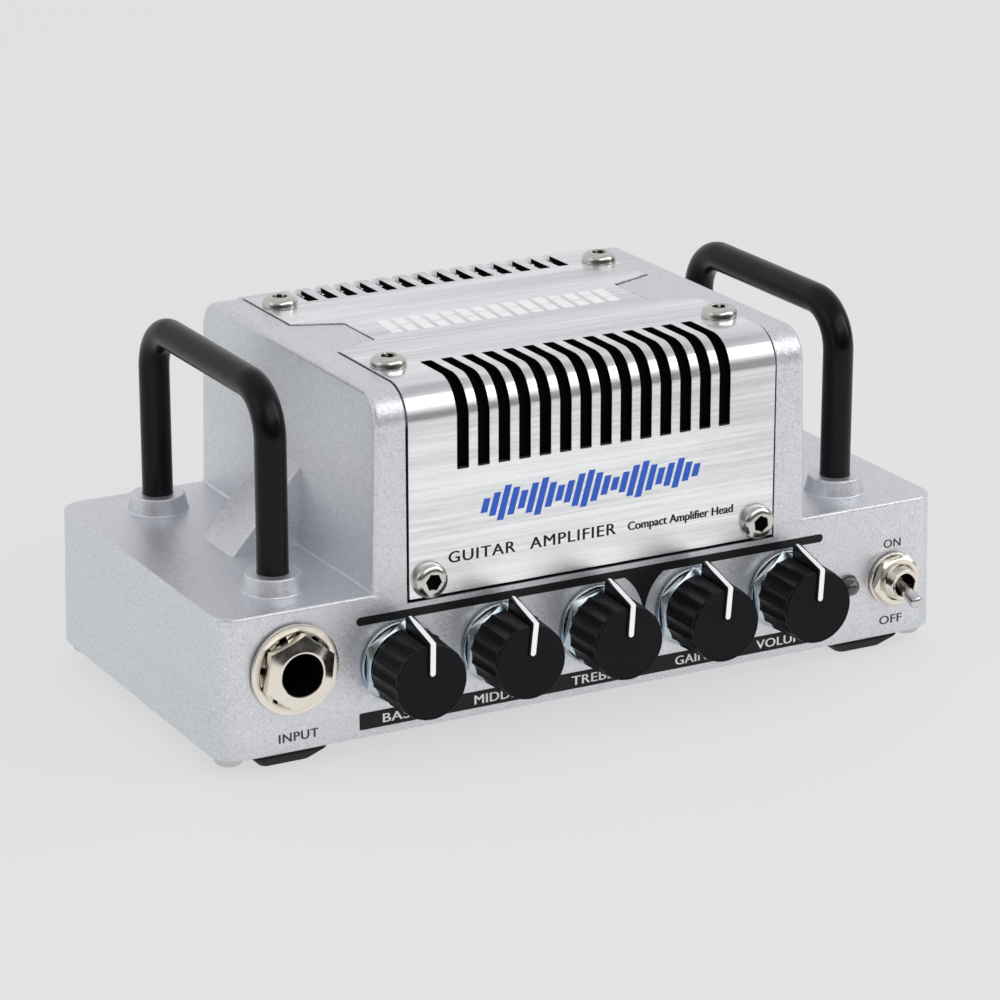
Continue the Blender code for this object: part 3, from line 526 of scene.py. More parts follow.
# ================================================================ casting
def build_shell():
    d, rf = BASE_DRAFT, 0.5
    secs = []
    for k in range(5):
        a = rad(90.0 * k / 4)
        e = 0.5 * (1 - math.sin(a))
        secs.append(rounded_rect(BASE_HX - e, BASE_HY - e, BASE_R - e, 12, 0.5 - 0.5 * math.cos(a)))
    for k in range(7):
        a = rad(90.0 * k / 6)
        e = d + rf * (1 - math.cos(a))
        secs.append(rounded_rect(BASE_HX - e, BASE_HY - e, BASE_R - e, 12, BASE_H - rf + rf * math.sin(a)))
    bm = loft(bmesh.new(), secs)

    def hx_at(z):
        return TOWER_HX0 + (TOWER_HX1 - TOWER_HX0) * (z - BASE_H) / (TOWER_TOP - BASE_H)

    fr = 0.4
    secs = [rounded_rect(TOWER_HX0 - 0.05, TOWER_HY0 - 1.5, 0.9, 5, 5.0),
            rounded_rect(TOWER_HX0 - 0.03, TOWER_HY0 - 0.7, 0.9, 5, BASE_H - 2.2),
            rounded_rect(TOWER_HX0 - 0.02, TOWER_HY0 + 0.012, 0.9, 5, BASE_H - 0.9),
            rounded_rect(TOWER_HX0 + 0.01, TOWER_HY0 + 0.002, 0.9, 5, BASE_H - 0.2)]
    for k in range(6):
        a = rad(90.0 * k / 5)
        z = BASE_H + 0.02 + fr * (1 - math.cos(a))
        secs.append(rounded_rect(hx_at(z) + fr * (1 - math.sin(a)), TOWER_HY0 - 0.003, 0.9, 5, z))
    er = 1.0
    n = 20
    for k in range(n + 1):
        a = rad(90.0 * k / n)
        z = TOWER_TOP - TOWER_R + TOWER_R * math.sin(a)
        q = max(0.0, z - (TOWER_TOP - er))
        inset = er - math.sqrt(max(0.0, er * er - q * q))
        secs.append(rounded_rect(hx_at(z) - inset, TOWER_HY1 - TOWER_R + TOWER_R * math.cos(a), 0.9, 5, z))
    bm = join(bm, loft(bmesh.new(), secs))
    for s in (-1, 1):
        prof = [(s * GUSSET_X, BASE_H - 0.4), (s * GUSSET_X, BASE_H + 0.01), (s * 37.3, GUSSET_Z), (s * 36.0, GUSSET_Z), (s * 36.0, BASE_H - 0.4)]
        nx, nz = GUSSET_Z - BASE_H, GUSSET_X - 37.3
        ln = math.hypot(nx, nz)
        nx, nz = s * nx / ln, nz / ln
        secs = []
        for y, e in ((-1.0, 0.5), (-0.93, 0.25), (-0.75, 0.08), (-0.5, 0.0), (0.5, 0.0), (0.75, 0.08), (0.93, 0.25), (1.0, 0.5)):
            yy = (GUSSET_HY - (1.0 - abs(y)) * 1.1) * (1 if y > 0 else -1)
            secs.append([(x - nx * e, yy, z - nz * e) for x, z in prof[:3]] + [(x, yy, z - nz * e * 1.2) for x, z in prof[3:4]] + [(prof[4][0], yy, prof[4][1])])
        bm = join(bm, loft(bmesh.new(), secs))
        for t in (-1, 1):
            p = [(0, BASE_H - 1.2), (BOSS_R0 + 0.44, BASE_H - 1.2), (BOSS_R0 + 0.44, BASE_H - 0.02)]
            p += arc(BOSS_R0 + 0.42, BASE_H + 0.32, 0.34, 270, 188, 6)
            top = BASE_H + BOSS_H
            p += arc(BOSS_R1 + 0.20, top - 0.30, 0.30, 8, 90, 6)
            p += [(0, top)]
            bm = join(bm, turned(bmesh.new(), p, 64, upright(s * HANDLE_X, t * HANDLE_Y)))
    bm = cut(bm, loft(bmesh.new(), [rounded_rect(BASE_HX - WALL, BASE_HY - WALL, 2.0, 5, z) for z in (-2.0, ROOF_Z)]))
    bm = cut(bm, box(bmesh.new(), (-TOWER_IN_HX, -TOWER_IN_HY, 10.0), (TOWER_IN_HX, TOWER_IN_HY, TOWER_IN_TOP)))
    for s in (-1, 1):
        for t in (-1, 1):
            bm = join(bm, peg(upright(s * BASE_SCREW[0], t * BASE_SCREW[1]), 2.4, 1.6, ROOF_Z + 0.6, 24))
    bm = cut(bm, loft(bmesh.new(), [rounded_rect(BASE_HX - 1.4, BASE_HY - 1.4, 3.1, 8, z) for z in (-2.0, 1.5)]))
    inner = arch(-RECESS_DEPTH, TOWER_R - RECESS_DEPTH, RECESS_Z)
    outer = [(40.0, RECESS_Z), (40.0, 60.0), (-40.0, 60.0), (-40.0, RECESS_Z)]
    tool = prism(bmesh.new(), inner + outer, -RECESS_HX - 0.1, RECESS_HX - 0.1, "x")
    g = 0.3
    for s in (-1, 1):
        isl = [(s * (COVER_HX - NOTCH_D + g), NOTCH_IN - g), (s * 36.0, NOTCH_OUT - g + 3.9 * (NOTCH_OUT - NOTCH_IN) / NOTCH_D),
               (s * 36.0, -NOTCH_OUT + g - 3.9 * (NOTCH_OUT - NOTCH_IN) / NOTCH_D), (s * (COVER_HX - NOTCH_D + g), -NOTCH_IN + g)]
        tool = cut(tool, prism(bmesh.new(), isl, 48.0, 64.0, "z"))
    bm = cut(bm, tool)
    for t in (-1, 1):
        lo, hi = sorted((t * 40.0, t * 18.9))
        bm = cut(bm, box(bmesh.new(), (-24.9, lo, 39.4), (24.9, hi, 60.0)))
    for s in (-1, 1):
        for t in (-1, 1):
            bm = cut(bm, peg(upright(s * HANDLE_X, t * HANDLE_Y), HANDLE_R + 0.05, 18.0, 28.0, 48))
            bm = cut(bm, peg(upright(s * BASE_SCREW[0], t * BASE_SCREW[1]), 1.35, 0.5, 9.0, 20))
    for name, k, turn, push, flat in CONTROLS:
        bm = cut(bm, peg(front(KNOB_X0 + k * KNOB_PITCH, KNOB_Z), 4.05, -5.0, 2.0, 32))
    bm = cut(bm, peg(front(JACK_X, JACK_Z), 5.75, -5.0, 2.0, 40))
    bm = cut(bm, peg(front(SWITCH_X, SWITCH_Z), 3.3, -5.0, 2.0, 32))
    bm = cut(bm, peg(front(LED_X, LED_Z), 1.75, -5.0, 2.0, 32))
    for name, x in REAR_SOCKETS:
        bm = cut(bm, peg(rear(x, REAR_Z), 4.7, -5.0, 2.0, 32))
    bm = cut(bm, peg(rear(PHONES_X, REAR_Z), 3.3, -5.0, 2.0, 32))
    bm = cut(bm, peg(rear(DC_X, REAR_Z), 5.15, -5.0, 2.0, 32))
    lay("casting", bm, PAINT, stands=("chassis_shell",))


def build_cover():
    r = TOWER_R + COVER_PROUD - 0.2
    hy, top = COVER_Y + COVER_PROUD, TOWER_TOP + COVER_PROUD
    nb = 18
    half = [(-hy, COVER_Z + 0.17), (-hy, 30.0), (-hy, SLOT_Z), (-hy, 44.0)]
    crease = 9.0
    ky = r / (1.0 - 0.0) / math.cos(rad(crease))
    kz = r / (1.0 - math.sin(rad(crease)))
    for k in range(nb + 1):
        a = rad(180.0 - crease - (90.0 - crease) * k / nb)
        half.append((-hy + r + ky * math.cos(a), top - kz + kz * math.sin(a)))
    half += [(-SLOT_Y, top), (-10.0, top)]
    path = half + [(-y, z) for y, z in reversed(half)]
    slot_rows = set()
    i0 = 2
    i1 = len(half) - 2
    n = len(path)
    for i in range(n - 1):
        if i0 <= i < i1 or i0 <= (n - 2 - i) < i1:
            slot_rows.add(i)
    xs = [-COVER_HX, -COVER_HX + 3.0]
    slot_cols = set()
    for k in range(SLOT_N):
        x = (k - (SLOT_N - 1) / 2.0) * SLOT_PITCH
        slot_cols.add(len(xs))
        xs += [x - SLOT_W / 2, x + SLOT_W / 2]
    xs += [COVER_HX - 3.0, COVER_HX]
    # tangent at each path point, for the inner face
    def inner(i):
        y, z = path[i]
        y0, z0 = path[max(i - 1, 0)]
        y1, z1 = path[min(i + 1, n - 1)]
        dy, dz = y1 - y0, z1 - z0
        if i == 3 or n - 1 - i == 3:
            dy, dz = (0.0, 1.0) if i < n / 2 else (0.0, -1.0)
        if i == len(half) - 3 or n - 1 - i == len(half) - 3:
            dy, dz = 1.0, 0.0
        l = math.hypot(dy, dz)
        return (y + dz / l * COVER_T, z - dy / l * COVER_T)
    bm = bmesh.new()
    out_v = [[bm.verts.new((x, path[i][0], path[i][1])) for x in xs] for i in range(n)]
    inn = [inner(i) for i in range(n)]
    in_v = [[bm.verts.new((x, inn[i][0], inn[i][1])) for x in xs] for i in range(n)]

    def solid(i, j):
        return 0 <= i < n - 1 and 0 <= j < len(xs) - 1 and not (i in slot_rows and j in slot_cols)

    for i in range(n - 1):
        for j in range(len(xs) - 1):
            if not solid(i, j):
                continue
            bm.faces.new((out_v[i][j], out_v[i][j + 1], out_v[i + 1][j + 1], out_v[i + 1][j]))
            bm.faces.new((in_v[i][j], in_v[i + 1][j], in_v[i + 1][j + 1], in_v[i][j + 1]))
            for di, dj, p, q in ((-1, 0, (i, j), (i, j + 1)), (1, 0, (i + 1, j + 1), (i + 1, j)), (0, -1, (i + 1, j), (i, j)), (0, 1, (i, j + 1), (i + 1, j + 1))):
                if not solid(i + di, j + dj):
                    bm.faces.new((out_v[q[0]][q[1]], out_v[p[0]][p[1]], in_v[p[0]][p[1]], in_v[q[0]][q[1]]))
    loose = [v for v in bm.verts if not v.link_faces]
    bmesh.ops.delete(bm, geom=loose, context="VERTS")
    for s in (-1, 1):
        k = (NOTCH_OUT - NOTCH_IN) / NOTCH_D
        poly = [(s * (COVER_HX - NOTCH_D), NOTCH_IN - 0.35), (s * (COVER_HX - NOTCH_D + 0.35), NOTCH_IN + 0.1), (s * (COVER_HX + 1.0), NOTCH_OUT + k),
                (s * (COVER_HX + 1.0), -NOTCH_OUT - k), (s * (COVER_HX - NOTCH_D + 0.35), -NOTCH_IN - 0.1), (s * (COVER_HX - NOTCH_D), -NOTCH_IN + 0.35)]
        bm = cut(bm, prism(bmesh.new(), poly, 48.0, 60.0, "z"))
    bm = bevelled(bm, 0.11, 2, 50.0)
    bmesh.ops.translate(bm, verts=bm.verts[:], vec=(-0.14, 0.0, 0.0))
    ob = lay("slotted_cover", bm, BRUSHED, stands=("vent_cover",), sharp=35.0)
    # a black strip in the joint between the cover's legs and the casting: painted shadow in that gap
    for t, side in ((-1, "front"), (1, "rear")):
        u = [(-32.53, 20.22), (32.33, 20.22), (32.33, 47.6), (31.99, 47.6), (31.99, 20.71), (-32.27, 20.71), (-32.27, 47.6), (-32.53, 47.6)]
        lo, hi = sorted((t * 31.18, t * 30.5))
        lay("cover_gap_shadow_" + side, prism(bmesh.new(), u, lo, hi, "y"), HOLLOW)
    # the walls of the slots get the black material: painted shade on the slot walls
    ob.data.materials.append(HOLLOW)
    reach = (SLOT_N * SLOT_PITCH * 0.5) * MM
    for p in ob.data.polygons:
        c = p.center
        in_slots = abs(c.x - FX) < reach and (abs(c.y) > (SLOT_Y - 0.06) * MM) and c.z > (SLOT_Z - 0.06) * MM
        # over the rear bend one looks through the slots, past bare metal edges
        if c.y > 25.2 * MM and c.z > FZ + 48.2 * MM:
            continue
        if in_slots and (abs(p.normal.x) > 0.97):
            p.material_index = 1
        elif in_slots and abs(c.y) < (SLOT_Y + 0.05) * MM and abs(p.normal.y) > 0.9:
            p.material_index = 1


def build_liner():
    # the dark sheet that shows through the slots
    # pads of black felt that fill each air window just under the cover
    for t, side in ((-1, "front"), (1, "rear")):
        o = COVER_PROUD - COVER_T - 0.25
        r = TOWER_R + o
        hy, top = COVER_Y + o, TOWER_TOP + o
        outer = [(-hy, 39.45)] + [(-hy + r + q[0], top - r + q[1]) for q in arc(0.0, 0.0, r, 180, 90, 14)] + [(-18.95, top)]
        if t > 0:
            outer = [(-hy, 39.45), (-hy, 47.6), (-25.9, top), (-18.95, top)]
        inner = [(-18.95, top - 1.6), (-hy + r, top - 1.6)] + [(-hy + r + q[0], top - r + q[1]) for q in arc(0.0, 0.0, r - 1.6, 90, 180, 10)[1:]] + [(-hy + 1.6, 39.45)]
        if t > 0:
            inner = [(-18.95, top - 1.6), (-25.3, top - 1.6), (-hy + 1.6, 46.9), (-hy + 1.6, 39.45)]
        poly = [(y * -t, z) for y, z in outer + inner]
        bm = prism(bmesh.new(), poly, -24.85, 24.85, "x")
        ob = lay("slot_felt_" + side, bm, HOLLOW, stands=("vent_liner",) if t < 0 else ())


def build_base_plate():
    secs = [rounded_rect(BASE_HX - 1.7 - e, BASE_HY - 1.7 - e, 2.8 - e, 8, z) for e, z in ((0.25, 0.0), (0.07, 0.07), (0.0, 0.25), (0.0, 0.95), (0.07, 1.13), (0.25, 1.2))]
    bm = loft(bmesh.new(), secs)
    for s in (-1, 1):
        for t in (-1, 1):
            bm = cut(bm, peg(upright(s * BASE_SCREW[0], t * BASE_SCREW[1]), 1.35, -1.0, 3.0, 24))
            bm = join(bm, peg(upright(s * 42.0, t * 23.0), 2.2, 1.0, 3.3, 24))
            bm = cut(bm, turned(bmesh.new(), [(0, -0.2), (2.0, -0.2), (1.1, 0.7), (0, 0.7)], 24, upright(s * 42.0, t * 23.0)))
    # pressed stiffening panel on the underside
    for e0, z0, z1 in ((0.0, -0.2, 0.25),):
        bm = cut(bm, loft(bmesh.new(), [rounded_rect(36.0 + 0.3, 17.5 + 0.3, 3.3, 8, -0.2), rounded_rect(36.0, 17.5, 3.0, 8, 0.3)]))
    lay("bottom_plate", bm, DARK_STEEL, stands=("base_plate",))


# ================================================================ fasteners, feet, handles
def screw(name, place, at, node, r=2.85, h=1.65, shank=5.5, sr=1.45, sock=1.16, phase=0.3):
    """Button head: a domed crown, a small land round a true hexagonal socket."""
    n = 48
    hexo = lambda a: sock / math.cos((a % (math.pi / 3)) - math.pi / 6)
    prof = [(0, h - 1.15), (hexo, h - 1.0), (hexo, h - 0.10), (lambda a: hexo(a) + 0.06, h - 0.03), (sock * 1.155 + 0.14, h)]
    land = r * 0.50
    prof.append((land, h))
    # dome from the land to the rim
    rr = (r - 0.06 - land)
    for k in range(1, 9):
        a = rad(90.0 * k / 9)
        prof.append((land + rr * math.sin(a), 0.42 + (h - 0.42) * (math.cos(a) ** 0.85)))
    prof += [(r - 0.02, 0.32), (r, 0.22), (r, 0.08), (r - 0.08, 0.0), (sr, 0.0), (sr, -shank), (0, -shank)]
    bm = turned(bmesh.new(), prof, n, place, phase)
    # a black plug at the bottom of the hex socket: painted shade in the socket
    lay(name + "_socket", turned(bmesh.new(), [(0, h - 1.1), (lambda a: hexo(a) - 0.01, h - 1.1), (lambda a: hexo(a) - 0.01, h - 0.72), (0, h - 0.80)], n, place, phase), HOLLOW, at=at)
    return lay(name, bm, STEEL, at=at, stands=(node,), sharp=38.0, weighted=False)


def build_screws():
    i = 0
    for s, sx in ((-1, "left"), (1, "right")):
        for t, ty in ((-1, "front"), (1, "rear")):
            i += 1
            x, y, z = s * SCREW_TOP[0], t * SCREW_TOP[1], TOWER_TOP + COVER_PROUD + 0.02
            screw("screw_top_%s_%s" % (ty, sx), lambda u, v, h, x=x, y=y, z=z: (x + u, y + v, z + h), (x, y, z), "cover_screw_top_%s_%s" % (ty, sx), phase=0.35 * i)
            x, z, y = s * SCREW_FRONT[0], SCREW_FRONT[1], t * (COVER_Y + COVER_PROUD + 0.02)
            screw("screw_%s_%s" % (ty, sx), lambda u, v, h, x=x, y=y, z=z, t=t: (x + u, y + t * h, z + v), (x, y, z), "cover_screw_%s_%s" % (ty, sx), phase=0.5 + 0.4 * i)
            x, y = s * BASE_SCREW[0], t * BASE_SCREW[1]
            screw("screw_bottom_%s_%s" % (ty, sx), lambda u, v, h, x=x, y=y: (x + u, y + v, -0.02 - h), (x, y, 0.0), "base_screw_%s_%s" % (ty, sx), 2.4, 1.7, 7.0, 1.05, 0.95, 0.2 * i)


def build_feet():
    for s, sx in ((-1, "left"), (1, "right")):
        for t, ty in ((-1, "front"), (1, "rear")):
            cx, cy = s * FOOT_XY[0], t * FOOT_XY[1]
            secs = []
            for h, z in ((5.9, -0.02), (6.1, -0.2), (6.1, -0.92), (6.0, -1.12), (4.35, -2.78), (4.12, -2.98), (3.85, -3.08), (3.6, -3.1)):
                secs.append(rounded_rect(h, h, max(0.7, min(1.2, h - 3.0)), 6, z, cx, cy))
            secs.append(rounded_rect(3.2, 3.2, 0.6, 6, -3.09, cx, cy))
            secs.append(rounded_rect(3.0, 3.0, 0.6, 6, -2.85, cx, cy))
            lay("rubber_foot_%s_%s" % (ty, sx), loft(bmesh.new(), secs), RUBBER, at=(cx, cy, 0.0), stands=("foot_%s_%s" % (ty, sx),))


def build_handles():
    n = 48
    for s, name in ((-1, "left"), (1, "right")):
        path = [(-HANDLE_Y, HANDLE_FOOT), (-HANDLE_Y, 30.0), (-HANDLE_Y, 38.0)]
        for k in range(25):
            a = rad(180.0 - 90.0 * k / 24)
            path.append((-HANDLE_Y + HANDLE_BEND + HANDLE_BEND * math.cos(a), HANDLE_TOP - HANDLE_BEND + HANDLE_BEND * math.sin(a)))
        path += [(-7.0, HANDLE_TOP)]
        path += [(-y, z) for y, z in reversed(path)]
        secs = []
        for i, (y, z) in enumerate(path):
            y0, z0 = path[max(i - 1, 0)]
            y1, z1 = path[min(i + 1, len(path) - 1)]
            d = Vector((0.0, y1 - y0, z1 - z0)).normalized()
            side = Vector((1.0, 0.0, 0.0))
            up = d.cross(side)
            secs.append([tuple(Vector((s * HANDLE_X, y, z)) + HANDLE_R * (math.cos(2 * math.pi * k / n) * side + math.sin(2 * math.pi * k / n) * up)) for k in range(n)])
        lay("grab_handle_" + name, loft(bmesh.new(), secs), LACQUER, stands=("handle_" + name,), sharp=50.0, weighted=False)


# ================================================================ controls
def flute(a):
    u = (a / (2 * math.pi) * 18.0) % 1.0
    return math.sin(math.pi * u) ** 0.8


def knob_mesh():
    """Fluted cap; h runs out from the panel of the control that is pushed on least."""
    n = 18 * 12
    place = lambda u, v, h: (u, -h, v)

    def ring(r, depth):
        return lambda a: r - depth * flute(a)

    prof = [(0.0, 8.6), (3.15, 8.6), (3.15, 2.6), (5.8, 2.6), (ring(6.14, 0.26), 2.64), (ring(6.27, 0.40), 2.85), (ring(6.30, 0.46), 3.3)]
    for t in (4.6, 6.2, 7.8, 9.0, 9.6):
        prof.append((ring(6.3 - 0.37 * (t - 2.6) / 8.1, 0.46), t))
    # the flutes run out just behind the face, which is a plain disc with a fine rounded rim
    prof += [(ring(5.96, 0.40), 9.9), (ring(5.95, 0.30), 10.12), (ring(5.94, 0.20), 10.28), (ring(5.93, 0.15), 10.40)]
    prof += [(ring(5.90, 0.10), 10.49), (ring(5.85, 0.04), 10.57), (5.80, 10.64), (5.72, 10.685), (5.63, 10.70), (5.55, 10.695), (5.49, 10.67), (5.43, 10.66), (5.35, 10.66), (0.0, 10.66)]
    bm = turned(bmesh.new(), prof, n, place)
    # pointer: a wedge over the skirt that runs on as a low rib across the face
    w = 0.72
    fin = [(3.12, 4.8), (3.12, 7.98), (3.3, 8.2), (10.72, 6.40), (10.92, 6.22), (10.92, 4.8)]
    wedge = bevelled(loft(bmesh.new(), [[(x, -t, h) for t, h in fin] for x in (-w, w)]), 0.13, 2, 30.0)
    bm = join(bm, wedge)
    rib = [(x, h) for x, h in arc(0.0, 1.55, w, 180, 360, 12)] + [(w, 6.1), (-w, 6.1)]
    bm = join(bm, prism(bmesh.new(), rib, -10.92, -10.3, "y"))
    # drop the slivers that the union leaves inside the wedge
    flaps = [f for f in bm.faces if any(len(e.link_faces) == 1 for e in f.edges)]
    bmesh.ops.delete(bm, geom=flaps, context="FACES")
    return bm


def pointer_mesh():
    """White inlay along the wedge's slope and down the face, with a round end."""
    pts = []     # (t, h, half width)
    th = math.atan2(8.2 - 6.40, 10.72 - 3.3)
    for k in range(11):
        f = k / 10.0
        t = 3.25 + (10.70 - 3.25) * f
        h = 8.2 - (t - 3.3) * math.tan(th)
        pts.append((t, h, 0.20 + 0.24 * min(1.0, f * 3.2)))
    for k in range(1, 5):
        a = rad(90.0 * k / 4)
        pts.append((10.70 + 0.22 * math.sin(a), 6.405 - 0.2 * (1 - math.cos(a)), 0.44))
    for h in (5.0, 3.5, 2.3, 1.62):
        pts.append((10.92, h, 0.44))
    for k in range(1, 8):
        a = rad(90.0 * k / 8)
        pts.append((10.92, 1.62 - 0.44 * math.sin(a), 0.44 * math.cos(a)))
    bm = bmesh.new()
    secs = []
    for i, (t, h, w) in enumerate(pts):
        t0, h0, _ = pts[max(i - 1, 0)]
        t1, h1, _ = pts[min(i + 1, len(pts) - 1)]
        d = Vector((t1 - t0, h1 - h0)).normalized()
        nrm = Vector((-d.y, d.x))
        o = 0.035
        b = -0.10
        sec = []
        for ww, oo in ((-w, b), (-w, o - 0.015), (-w * 0.96, o), (w * 0.96, o), (w, o - 0.015), (w, b)):
            sec.append((ww, -(t + nrm.x * oo), h + nrm.y * oo))
        secs.append(sec)
    return loft(bm, secs)


def build_controls():
    for name, k, turn, push, flat in CONTROLS:
        body = name + "_control"
        x = KNOB_X0 + k * KNOB_PITCH
        at = (x, -PANEL_Y + push, KNOB_Z)
        rot = (0.0, rad(turn), 0.0)
        lay("knob_cap_" + name, knob_mesh(), KNOB, body, at, rot, sharp=32.0, local=True, stands=("knob_" + name,), weighted=False)
        lay("knob_line_" + name, pointer_mesh(), INK_WHITE, body, at, rot, sharp=40.0, local=True, weighted=False)
        f = front(x, KNOB_Z)
        at = (x, -PANEL_Y, KNOB_Z)
        # dished washer with a rolled rim, then a chamfered hexagon nut
        w = [(4.05, 0.06), (6.36, 0.04), (6.46, 0.10), (6.50, 0.22), (6.49, 0.36), (6.42, 0.50), (6.32, 0.58), (6.22, 0.58), (6.14, 0.50), (6.08, 0.47), (5.8, 0.52), (5.2, 0.70), (4.15, 0.75), (4.05, 0.66)]
        lay("pot_ring_" + name, turned(bmesh.new(), w, 96, f, closed=True), ZINC, at=at, stands=("pot_washer_" + name,), sharp=55.0)
        lay("pot_hex_" + name, nut(f, 6.0, 4.05, 0.78, 1.9, rad(flat - 30.0)), ZINC, at=at, stands=("pot_nut_" + name,), sharp=25.0)


def nut(place, half_af, bore, h0, h1, phase, n=72):
    """Hexagon nut with its corners turned off to a cone, as arcs on the flats."""
    hx = hexrad(half_af)
    rc = half_af * 0.965
    drop = lambda a: h1 - max(0.0, hx(a) - rc) * 0.62
    low = lambda a: h0 + max(0.0, hx(a) - rc) * 0.35
    prof = [(rc, h0), (hx, low), (hx, drop), (rc, h1), (bore + 0.35, h1), (bore, h1 - 0.3), (bore, h0)]
    return turned(bmesh.new(), prof, n, place, phase, closed=True)


def build_input():
    f = front(JACK_X, JACK_Z)
    at = (JACK_X, -PANEL_Y, JACK_Z)
    # washer: a flat ring with twelve twisted inner teeth
    w = [(5.85, 0.08), (7.06, 0.06), (7.15, 0.15), (7.15, 0.50), (7.05, 0.62), (6.9, 0.66), (6.05, 0.64), (5.85, 0.56)]
    bm = turned(bmesh.new(), w, 96, f, closed=True)
    for k in range(12):
        a0 = rad(52.0 + 15.0 + 30.0 * k)
        tw = rad(17.0)
        secs = []
        for r, half, thick, twist in ((6.05, 0.98, 0.22, 0.0), (5.75, 0.92, 0.20, 0.45), (5.35, 0.86, 0.18, 1.0), (4.75, 0.78, 0.17, 1.0)):
            sec = []
            for e, g in ((-half, -thick), (half, -thick), (half, thick), (-half, thick)):
                c, s = math.cos(tw * twist), math.sin(tw * twist)
                e2, g2 = e * c - g * s, e * s + g * c
                u = r * math.cos(a0) - e2 * math.sin(a0)
                v = r * math.sin(a0) + e2 * math.cos(a0)
                sec.append(f(u, v, 0.36 + g2))
            secs.append(sec)
        bm = join(bm, loft(bmesh.new(), secs))
    lay("jack_tooth_washer", bm, NICKEL_SATIN, at=at, stands=("input_jack_washer",), sharp=30.0)
    # dished nut
    hx = hexrad(5.25)
    top = lambda r: 3.02 - (r - 3.72) * 0.31
    prof = [(4.65, 0.95), (5.15, 0.95), (hx, 1.05)]
    prof += [(hx, lambda a: top(hx(a)) - 0.06), (lambda a: hx(a) - 0.08, lambda a: top(hx(a) - 0.08))]
    for q in (0.75, 0.5, 0.25):
        prof.append((lambda a, q=q: 3.75 + (hx(a) - 3.83) * q, lambda a, q=q: top(3.75 + (hx(a) - 3.83) * q)))
    prof += [(3.80, top(3.80)), (3.68, 3.03), (3.52, 3.05), (3.40, 3.0), (3.35, 2.88), (3.35, 2.5), (4.65, 2.5)]
    lay("jack_hex_nut", turned(bmesh.new(), prof, 120, f, rad(21.4), closed=True), NICKEL, at=at, stands=("input_jack_nut",), sharp=22.0)
    # socket: bushing with a dark bore and a stepped throat
    bm = bevelled(box(bmesh.new(), (JACK_X - 5.4, -PANEL_Y + 3.3, JACK_Z - 5.4), (JACK_X + 5.4, -PANEL_Y + 24.0, JACK_Z + 5.4)), 0.5, 2)
    bm = join(bm, turned(bmesh.new(), [(0, -4.0), (4.35, -4.0), (4.35, 2.0), (4.2, 2.2), (0, 2.2)], 64, f))
    bm = cut(bm, peg(f, 3.2, -22.0, 4.0, 64))
    lay("jack_socket", bm, HOLLOW, at=at, stands=("input_jack",))


def thread(place, r, h0, h1, pitch, depth, bore, n=48, extra=()):
    """A round bushing with turned thread grooves between h0 and h1."""
    prof = [(bore, h1 - 0.12), (bore + 0.14, h1), (r - 0.25, h1), (r - 0.05, h1 - 0.18)]
    h = h1 - 0.3
    while h > h0 + pitch:
        prof += [(r, h), (r - depth, h - pitch * 0.5)]
        h -= pitch
    prof += [(r, h0 + 0.05), (r, -4.0), (bore, -4.0)]
    return turned(bmesh.new(), prof, n, place, closed=True)


def build_switch():
    f = front(SWITCH_X, SWITCH_Z)
    at = (SWITCH_X, -PANEL_Y, SWITCH_Z)
    bm = thread(f, 2.72, 1.0, 4.0, 0.42, 0.16, 1.85, 64)
    lay("toggle_bushing", bm, NICKEL, at=at, stands=(), sharp=40.0)
    bm = bevelled(box(bmesh.new(), (SWITCH_X - 3.2, -PANEL_Y + 3.3, SWITCH_Z - 4.0), (SWITCH_X + 3.2, -PANEL_Y + 12.0, SWITCH_Z + 6.0)), 0.4, 2)
    bm = join(bm, turned(bmesh.new(), [(0, -4.0), (2.02, -4.0), (2.02, -0.6), (1.6, -1.0), (0, -1.1)], 40, f))
    lay("toggle_case", bm, HOLLOW, at=at, stands=("power_switch_body",))
    w = [(3.25, 0.06), (4.28, 0.06), (4.36, 0.14), (4.36, 0.46), (4.28, 0.56), (4.1, 0.60), (3.4, 0.60), (3.25, 0.50)]
    lay("toggle_washer", turned(bmesh.new(), w, 72, f, closed=True), NICKEL_SATIN, at=at, stands=("power_switch_washer",), sharp=40.0)
    lay("toggle_nut", nut(f, 3.95, 2.74, 0.9, 2.3, rad(8.0)), NICKEL, at=at, stands=("power_switch_nut",), sharp=25.0)
    # black sleeve round the lever inside the bushing: painted shade in the bushing's mouth
    bm = turned(bmesh.new(), [(1.32, 1.6), (1.84, 1.6), (1.84, -0.5), (1.32, -0.5)], 40, f, closed=True)
    lay("toggle_mouth_shade", bm, HOLLOW, at=at)
    lean = rad(SWITCH_LEAN)
    py = -PANEL_Y - SWITCH_T
    prof = [(0, -1.3), (0.5, -1.22), (0.95, -0.85), (1.2, -0.3), (1.2, 0.35), (0.95, 0.8), (0.84, 1.1), (0.92, 3.2), (1.08, 5.2), (1.16, 6.0), (1.14, 6.3), (1.04, 6.55), (0.84, 6.76), (0.58, 6.9), (0.3, 6.98), (0, 7.0)]

    def along(u, v, h):
        return (SWITCH_X + u, py - h * math.cos(lean) - v * math.sin(lean), SWITCH_Z - h * math.sin(lean) + v * math.cos(lean))

    lay("toggle_lever", turned(bmesh.new(), prof, 48, along), LEVER, "power_toggle", (SWITCH_X, py, SWITCH_Z), stands=("power_lever",), sharp=50.0, weighted=False)


